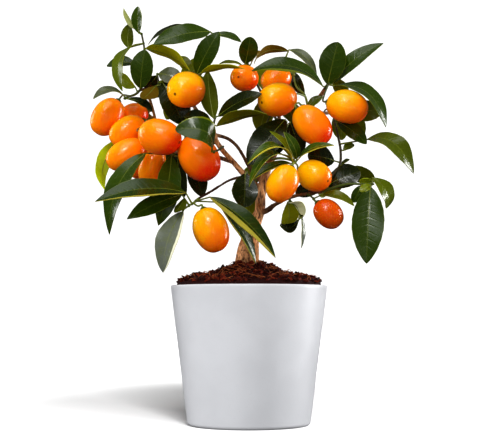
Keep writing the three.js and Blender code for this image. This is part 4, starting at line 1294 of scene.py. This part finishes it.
@dataclass
class Wood:
    """Root flares, trunk and branches, grown together. Sizes in millimetres."""

    voxel: float = 0.62
    swell: float = 0.9
    crack_depth: float = 0.7
    crack_width: float = 0.12
    dark_foot_height: float = 131.0
    dark_foot_fade: float = 14.0
    knot: tuple[float, float] = (12.0, 170.0)
    bark_reach: float = 0.8
    trunk_reach: float = 16.0
    branch_share: float = 0.35

    def build(self, bark: Paint) -> None:
        """Models the wood and hands it over.

        Args:
            bark: Its material.
        """
        routes = []
        for limb in WOOD:
            count = 10 * len(limb.route)
            places = smooth_route(np.array([at(p) for p in limb.route]), count)
            girth = np.interp(np.linspace(0, 1, count), np.linspace(0, 1, len(limb.radii)), limb.radii)
            routes.append((places, girth))
        wood = tubes(routes, 4)
        apply_modifier(wood, "REMESH", mode="VOXEL", voxel_size=self.voxel * MM)
        apply_modifier(wood, "SMOOTH", factor=0.5, iterations=3)
        places = corners(wood) / MM
        self.carve(wood, places)
        self.darken_bark(wood, places, routes)
        complete(wood, "trunk_wood", 80, bark, "bark", "trunk")

    def carve(self, wood: Thing, places: Rows) -> None:
        """Gives the wood its swellings and cracks, shallower on the branches.

        Args:
            wood: The plain wood.
            places: Its vertices, in millimetres.
        """
        normals = np.empty(len(places) * 3)
        wood.data.vertices.foreach_get("normal", normals)
        lift, crack = np.empty(len(places)), np.empty(len(places))
        for i, (x, y, z) in enumerate(places):
            broad = noise.fractal(Vector((x * 0.16, y * 0.16, z * 0.07)), 1.0, 2.0, 3)
            ridge = abs(noise.noise(Vector((x * 0.55, y * 0.55, z * 0.16))))
            crack[i] = max(0.0, 1 - ridge / self.crack_width)
            lift[i] = self.swell * broad - self.crack_depth * crack[i]
        on_trunk = np.hypot(places[:, 0] - 3, places[:, 1]) < self.trunk_reach
        depth = np.clip((220 - places[:, 2]) / 60, 0.25, 1.0) * np.where(on_trunk, 1, self.branch_share)
        set_corners(wood, (places + normals.reshape(-1, 3) * (lift * depth)[:, None]) * MM)
        set_number(wood, "crack", crack * depth)

    def darken_bark(self, wood: Thing, places: Rows, routes: list[Route]) -> None:
        """Stores how dark the bark is: at the foot, in the fork's knot and on each limb.

        Args:
            wood: The carved wood.
            places: Its vertices before the carving, in millimetres.
            routes: Each limb's centre line and radii.
        """
        across, up = self.knot
        knot = np.exp(-(((places[:, 0] - across) / 6) ** 2 + ((places[:, 2] - up) / 5) ** 2))
        near = np.array([self.nearness(places, *route) for route in routes])
        limbs = np.array([limb.darkness for limb in WOOD]) @ near / near.sum(axis=0)
        foot = np.clip((self.dark_foot_height - places[:, 2]) / self.dark_foot_fade, 0, 0.8)
        set_number(wood, "darkness", np.clip(foot + 0.7 * knot + limbs, 0, 0.93))

    def nearness(self, places: Rows, route: Rows, girth: Rows) -> Rows:
        """Gives each place's nearness to one limb's bark.

        Args:
            places: The places, in millimetres.
            route: The limb's centre line.
            girth: The limb's radius at each point of the line.

        Returns:
            One number a place, 1 on the bark and less away from it.
        """
        gap = np.full(len(places), 1e9)
        for point, radius in zip(route, girth):
            gap = np.minimum(gap, np.abs(np.linalg.norm(places - point, axis=1) - radius))
        return np.exp(-gap / self.bark_reach) + 1e-9


@dataclass
class Kumquats:
    """The oval fruits, each copied from one blank. Sizes in millimetres."""

    around: int = 40
    rings: int = 30
    blunt: float = 0.92
    oval: float = 0.018
    crease: float = 0.02
    unevenness: float = 0.02
    shaded_side: tuple[float, float, float] = (0.6, 0.0, -0.8)

    def blank(self) -> Thing:
        """Models the unit fruit, with closer rings at its ends.

        Returns:
            The blank.
        """
        blank = fresh(
            bpy.ops.mesh.primitive_uv_sphere_add, segments=self.around, ring_count=self.rings, radius=1
        )
        x, y, z = corners(blank).T
        turn = np.arccos(np.clip(-z, -1, 1))
        eased = turn - 0.17 * np.sin(2 * turn)
        ring = np.hypot(x, y)
        share = np.where(ring > 1e-6, np.sin(eased) / np.maximum(ring, 1e-6), 0)
        set_corners(blank, np.column_stack([x * share, y * share, -np.cos(eased)]))
        set_map(blank, eased / math.pi)
        return blank

    def build(self, peel: Paint) -> None:
        """Models every fruit and hands it over.

        Args:
            peel: Their material.
        """
        blank = self.blank()
        for number, (node, fruit) in enumerate(FRUITS.items()):
            piece = copied(blank)
            self.shape(piece, fruit, number)
            complete(piece, "kumquat_" + node[-2:], 80, peel, "peel", node)
        bpy.data.objects.remove(blank)

    def shape(self, piece: Thing, fruit: Fruit, number: int) -> None:
        """Gives a copy of the blank its fruit's size, unevenness, place and redness, with painted shade.

        Args:
            piece: The copy.
            fruit: The fruit's layout.
            number: A number for its own unevenness.
        """
        centre, axis, long, wide = fruit.frame()
        x, y, z = corners(piece).T
        ring, turn = np.hypot(x, y), np.arctan2(y, x)
        radius = np.maximum(ring, 1e-9) ** self.blunt * wide
        radius = radius * (1 + self.oval * np.sin(2 * turn + number) * ring)
        radius = radius * (1 + self.crease * np.cos(5 * turn + number) * np.exp(-((1 - z) / 0.18) ** 2))
        dimple = (DIMPLE + 0.15) * np.exp(-((radius / 2.6) ** 2))
        nipple = 0.45 * np.exp(-((radius / 2.2) ** 2)) - 0.35 * np.exp(-((radius / 0.9) ** 2))
        height = z * long - np.where(z > 0, dimple, 0) + np.where(z < 0, nipple, 0)
        local = np.column_stack([radius * np.cos(turn), radius * np.sin(turn), height])
        for i, row in enumerate(local):
            swell = noise.noise(Vector(row * 0.09) + Vector((number * 7.3, 0, 0)))
            local[i] = row * (1 + self.unevenness * swell * ring[i])
        placed = turned(local, axis)
        set_corners(piece, (placed + centre) * MM)
        # Painted light and shade: the peel is redder towards the lower right and paler towards the upper
        # left.
        lean = placed / np.array([wide, wide, long]) @ np.array(self.shaded_side)
        shade_redness = np.where(lean > 0, 0.6 * np.abs(lean) ** 1.2, 0.22 * lean)
        set_number(piece, "redness_and_shade", fruit.redness_and_shade + shade_redness)


@dataclass
class Sprays:
    """Leafy shoots: twig, petioles, ribbed blades, fruit stalks and calyxes. Sizes in millimetres."""

    columns: int = 10
    stations: int = 32
    thickness: float = 0.42
    vein_spacing: float = 5.5
    quilting: float = 0.13
    groove: float = 0.25
    ripple: float = 0.012
    ruffle_waves: float = 1.9
    bud_radius: float = 1.15
    petiole_colour: str = "66701c"
    bud_colour: str = "4c5a16"
    seed: int = 7

    def blank(self) -> Thing:
        """Models the flat unit blade: x from -1 to 1 across, y from 0 to 1 along.

        Returns:
            The blank.
        """
        blank = fresh(
            bpy.ops.mesh.primitive_grid_add, x_subdivisions=self.columns, y_subdivisions=self.stations, size=2
        )
        places = corners(blank)
        across = np.sign(places[:, 0]) * np.abs(places[:, 0]) ** 1.25
        even = (places[:, 1] + 1) / 2
        along = even - 0.06 * np.sin(2 * math.pi * even)
        set_corners(blank, np.column_stack([across, along, 0 * along]))
        set_map(blank, along, (across + 1) / 2)
        return blank

    def blade(self, blank: Thing, surface: LeafSurface, leaf: Leaf, draw: random.Random) -> Thing:
        """Bends a copy of the blank to a leaf's surface.

        Args:
            blank: The flat blade.
            surface: The leaf's middle surface.
            leaf: The leaf's layout.
            draw: The shoot's seeded draws.

        Returns:
            The blade's upper side.
        """
        piece = copied(blank)
        across, along, _ = corners(blank).T
        points, ups, sides, halves = surface.frames(along)
        veins = max(5.0, surface.length / self.vein_spacing)
        ruffle, phase, twist = draw.uniform(0.03, 0.08), draw.uniform(0, 6.3), draw.uniform(-0.16, 0.16)
        half = np.maximum(halves, np.where(along < 0.5, 0.45, 0.12))
        half = half * (1 + self.ripple * np.sin(along * 50 + phase))
        reach = np.abs(across)
        rise = LEAF_FOLD * half * (0.4 * reach + 0.6 * reach**2)
        rise -= self.groove * np.exp(-((across * half / 0.9) ** 2)) * (1 - along)
        wave = (along * veins - 0.9 * reach) * 2 * math.pi
        quilt = self.quilting * np.cos(wave + math.pi) * 4 * reach * (1 - reach)
        rise += quilt * np.sqrt(np.clip(halves / 8, 0, 1))
        side_phase = phase + np.where(across > 0, 2.1, 0)
        rise += ruffle * half * reach**2 * np.sin(along * 2 * math.pi * self.ruffle_waves + side_phase)
        turn = (twist * (along - 0.3))[:, None]
        sideways = sides * np.cos(turn) + ups * np.sin(turn)
        upward = ups * np.cos(turn) - sides * np.sin(turn)
        body = points + sideways * (across * half)[:, None] + upward * (rise + self.thickness / 2)[:, None]
        set_corners(piece, body * MM)
        top, under, pale = leaf.look.value
        shift = draw.uniform(0.85, 1.18)
        for name, hexed in (("top_tint", top), ("under_tint", under)):
            red, green, blue, _ = linear(hexed)
            set_colour(piece, name, (red * shift, green * shift, blue * shift, 1.0))
        for name, value in (("veins", veins), ("pale", pale), ("strip", leaf.strip)):
            set_number(piece, name, value)
        return piece

    def petiole(self, surface: LeafSurface, twig: Rows) -> Route:
        """Lays out a petiole and the rib that it runs into.

        Args:
            surface: The leaf's middle surface.
            twig: The places along the twig.

        Returns:
            The route and the radii.
        """
        t = np.linspace(0, 0.93, 14)
        points, ups, _, _ = surface.frames(t)
        rib = points - ups * (self.thickness / 2)
        rib[0] = points[0]
        stem = np.linspace(nearest_on(twig, points[0]), rib[0], 5)[:-1]
        girth = np.concatenate([np.linspace(0.75, 0.6, 4), np.interp(t, [0, 0.2, 0.93], [0.6, 0.42, 0.1])])
        return np.concatenate([stem, rib]), girth

    def stalk(self, fruit: Fruit, knees: list[Place], twig: Rows) -> Route:
        """Lays out a fruit's stalk.

        Args:
            fruit: The fruit that hangs on it.
            knees: The points that it passes, on the drawing.
            twig: The places along the twig.

        Returns:
            The route and the radii.
        """
        centre, axis, long, _ = fruit.frame()
        tip = long - DIMPLE + GAP
        knots = [nearest_on(twig, at(knees[0]))] + [at(k) for k in knees]
        knots += [centre + axis * (tip + CALYX_HEIGHT + 1.2), centre + axis * (tip + 0.5)]
        places = smooth_route(np.array(knots), 16)
        return places, np.interp(np.linspace(0, 1, 16), [0, 0.15, 0.8, 1], [0.9, 0.68, 0.72, 1.1])

    def calyx(self, fruit: Fruit) -> Thing:
        """Models the five-lobed calyx on top of a fruit.

        Args:
            fruit: The fruit.

        Returns:
            The calyx.
        """
        centre, axis, long, _ = fruit.frame()
        calyx = fresh(bpy.ops.mesh.primitive_uv_sphere_add, segments=20, ring_count=8, radius=1)
        x, y, z = corners(calyx).T
        turn = np.arctan2(y, x)
        lobe = CALYX_RADIUS * (0.78 + 0.3 * np.cos(5 * turn)) * np.hypot(x, y)
        height = np.where(z > 0, z * CALYX_HEIGHT * 0.75, z * 0.25) - 0.06 * lobe**2
        local = np.column_stack([lobe * np.cos(turn), lobe * np.sin(turn), height + 0.45])
        set_corners(calyx, (turned(local, axis) + centre + axis * (long - DIMPLE)) * MM)
        return calyx

    def bud(self, place: Rows) -> Thing:
        """Models a small bud where a petiole leaves its twig.

        Args:
            place: Where it sits, in millimetres.

        Returns:
            The bud.
        """
        bud = fresh(
            bpy.ops.mesh.primitive_ico_sphere_add, subdivisions=2, radius=self.bud_radius * MM,
            location=tuple(place * MM),
        )
        bpy.ops.transform.resize(value=(0.85, 0.85, 1.2))
        bpy.ops.object.transform_apply(location=True, rotation=True, scale=True)
        return bud

    def greens(self, shoot: Shoot, surfaces: list[LeafSurface], stem: Paint) -> list[Thing]:
        """Models a shoot's twig, stalks, petioles, calyxes and buds.

        Args:
            shoot: The shoot's layout.
            surfaces: The middle surfaces of its leaves.
            stem: The twigs' material.

        Returns:
            The meshes, dressed.
        """
        twig = smooth_route(np.array([at(p) for p in shoot.twig]), 41)
        woody = [(twig, np.linspace(shoot.radius, shoot.radius * 0.7, len(twig)))]
        woody += [self.stalk(FRUITS[name], knees, twig) for name, knees in shoot.fruits.items()]
        made = [tubes(woody, 2), tubes([self.petiole(surface, twig) for surface in surfaces], 1)]
        made += [self.calyx(FRUITS[name]) for name in shoot.fruits]
        made += [self.bud(nearest_on(twig, surface.start)) for surface in surfaces]
        colours = [shoot.colour, self.petiole_colour] + [self.bud_colour] * (len(made) - 2)
        for green, colour in zip(made, colours):
            set_colour(green, "stem_tint", linear(colour))
            smooth(green, 60)
            green.data.materials.clear()
            green.data.materials.append(stem)
        return made

    def build(self, top: Paint, under: Paint, stem: Paint) -> None:
        """Models every shoot and hands it over.

        Args:
            top: The upper side's material.
            under: The underside's material.
            stem: The twigs' material.
        """
        blank = self.blank()
        for owner, (node, shoot) in enumerate(SHOOTS.items()):
            draw = random.Random(self.seed * 100 + owner)
            surfaces = [LeafSurface(leaf) for leaf in shoot.leaves]
            blades = [self.blade(blank, s, leaf, draw) for s, leaf in zip(surfaces, shoot.leaves)]
            name = "spray" + node[node.index("_"):]
            spray = join(blades, name)
            spray.data.materials.append(top)
            spray.data.materials.append(under)
            apply_modifier(
                spray, "SOLIDIFY", thickness=self.thickness * MM, offset=-1,
                material_offset=1, material_offset_rim=1, use_quality_normals=True,
            )
            smooth(spray, 50)
            hand_over(join([spray, *self.greens(shoot, surfaces, stem)], name), shoot.slot, node)
        bpy.data.objects.remove(blank)


class Lit(Enum):
    """What a studio light falls on: all but the floor, or the floor alone."""

    TREE = "EXCLUDE"
    FLOOR = "INCLUDE"


@dataclass(frozen=True)
class Softbox:
    """A studio light: where it stands, what it aims at, its width and height, its power and reach.

    A light that isn't mirrored gives light but no reflection of itself.
    """

    name: str
    place: Place
    aim: Place
    size: tuple[float, float]
    power: float
    lit: Lit = Lit.TREE
    mirrored: bool = True
    colour: tuple[float, float, float] = (1.0, 1.0, 1.0)

    def build(self, floor: Thing) -> None:
        """Sets up the light and keeps it off the floor or off the tree.

        Args:
            floor: The floor that it lights alone or leaves out.
        """
        lamp = fresh(bpy.ops.object.light_add, type="AREA", location=self.place)
        lamp.name = self.name
        lamp.data.shape = "RECTANGLE"
        lamp.data.size, lamp.data.size_y = self.size
        lamp.data.energy = self.power
        lamp.data.color = self.colour
        lamp.visible_glossy = self.mirrored
        lamp.rotation_euler = (Vector(self.aim) - Vector(self.place)).to_track_quat("-Z", "Y").to_euler()
        group = bpy.data.collections.new(self.name + "_reach")
        group.objects.link(floor)
        group.collection_objects[0].light_linking.link_state = self.lit.value
        lamp.light_linking.receiver_collection = group


LIGHTS = [
    Softbox("key", (-0.27, -0.99, 1.08), (-0.01, 0, 0.2), (0.3, 0.3), 6),
    Softbox("front", (0.12, -1.25, 0.16), (0, 0, 0.15), (0.7, 0.7), 7.6, mirrored=False),
    Softbox("sheen", (-0.4, -1.15, 0.7), (0, 0, 0.2), (0.5, 0.35), 1.6, colour=(0.95, 0.98, 1)),
    Softbox("side_right", (1.05, 0.22, 0.34), (0, 0, 0.12), (0.3, 0.6), 11),
    Softbox("side_left", (-1.1, -0.1, 0.2), (0, 0, 0.1), (0.5, 0.5), 5, mirrored=False),
    Softbox("left_rim", (-0.9, 0.35, 0.45), (-0.03, 0, 0.2), (0.2, 0.5), 2),
    Softbox("overhead", (-0.1, -0.35, 1.2), (0, 0, 0.2), (0.9, 0.6), 3.5),
    Softbox("floor_far", (0.94, -5.93, 1.22), (0, 0.3, 0), (1.5, 0.5), 900, Lit.FLOOR),
    Softbox("floor_near", (2.54, -5.44, 2.5), (0, 0.2, 0), (3.7, 0.8), 470, Lit.FLOOR),
]


@dataclass
class Studio:
    """Camera, floor, lights and surroundings, in metres."""

    floor_size: float = 12.0
    ambient: float = 0.13

    def build(self) -> None:
        """Sets up all of it."""
        self.build_camera()
        floor = self.build_floor()
        for light in LIGHTS:
            light.build(floor)
        self.build_surroundings()
        bpy.context.scene.view_settings.view_transform = "Standard"
        bpy.context.scene.view_settings.look = "Medium High Contrast"

    def build_camera(self) -> None:
        """Puts the camera at the drawing's eye."""
        camera = fresh(bpy.ops.object.camera_add, location=tuple(EYE * MM))
        camera.rotation_euler = (math.pi / 2 + TILT, 0, 0)
        camera.data.sensor_width = SENSOR_WIDTH
        camera.data.lens = SENSOR_WIDTH * -EYE[1] / math.cos(TILT) / DRAWING_WIDTH
        bpy.context.scene.camera = camera

    def build_floor(self) -> Thing:
        """Lays the floor.

        Returns:
            The floor.
        """
        floor = fresh(bpy.ops.mesh.primitive_plane_add, size=self.floor_size)
        floor.name = "floor"
        floor.data.materials.append(FloorFinish().make())
        return floor

    def build_surroundings(self) -> None:
        """Makes the surroundings white to the eye, and faint as a light."""
        world = bpy.context.scene.world or bpy.data.worlds.new("studio")
        bpy.context.scene.world = world
        world.use_nodes = True
        nodes, links = world.node_tree.nodes, world.node_tree.links
        sky = nodes["Background"]
        sky.inputs[0].default_value = (1, 1, 1, 1)
        strength = nodes.new("ShaderNodeMapRange")
        strength.inputs[3].default_value = self.ambient
        links.new(nodes.new("ShaderNodeLightPath").outputs["Is Camera Ray"], strength.inputs[0])
        links.new(strength.outputs[0], sky.inputs[1])


def main() -> None:
    """Builds the studio and every piece."""
    logging.basicConfig(level=logging.INFO, format="%(name)s: %(message)s")
    Studio().build()
    Planter().build(GlazeFinish().make())
    Soil().build()
    Wood().build(BarkFinish().make())
    Kumquats().build(PeelFinish().make())
    Sprays().build(
        BladeFinish("leaf_top", "top_tint", "b9c050", (0.19, 0.28), 0.38, 0.00016).make(),
        BladeFinish("leaf_under", "under_tint", "c4c96a", (0.5, 0.65), 0.1, 0.00015).make(),
        StemFinish("green_stem", 0.5).make(),
    )


if __name__ == "__main__":
    main()
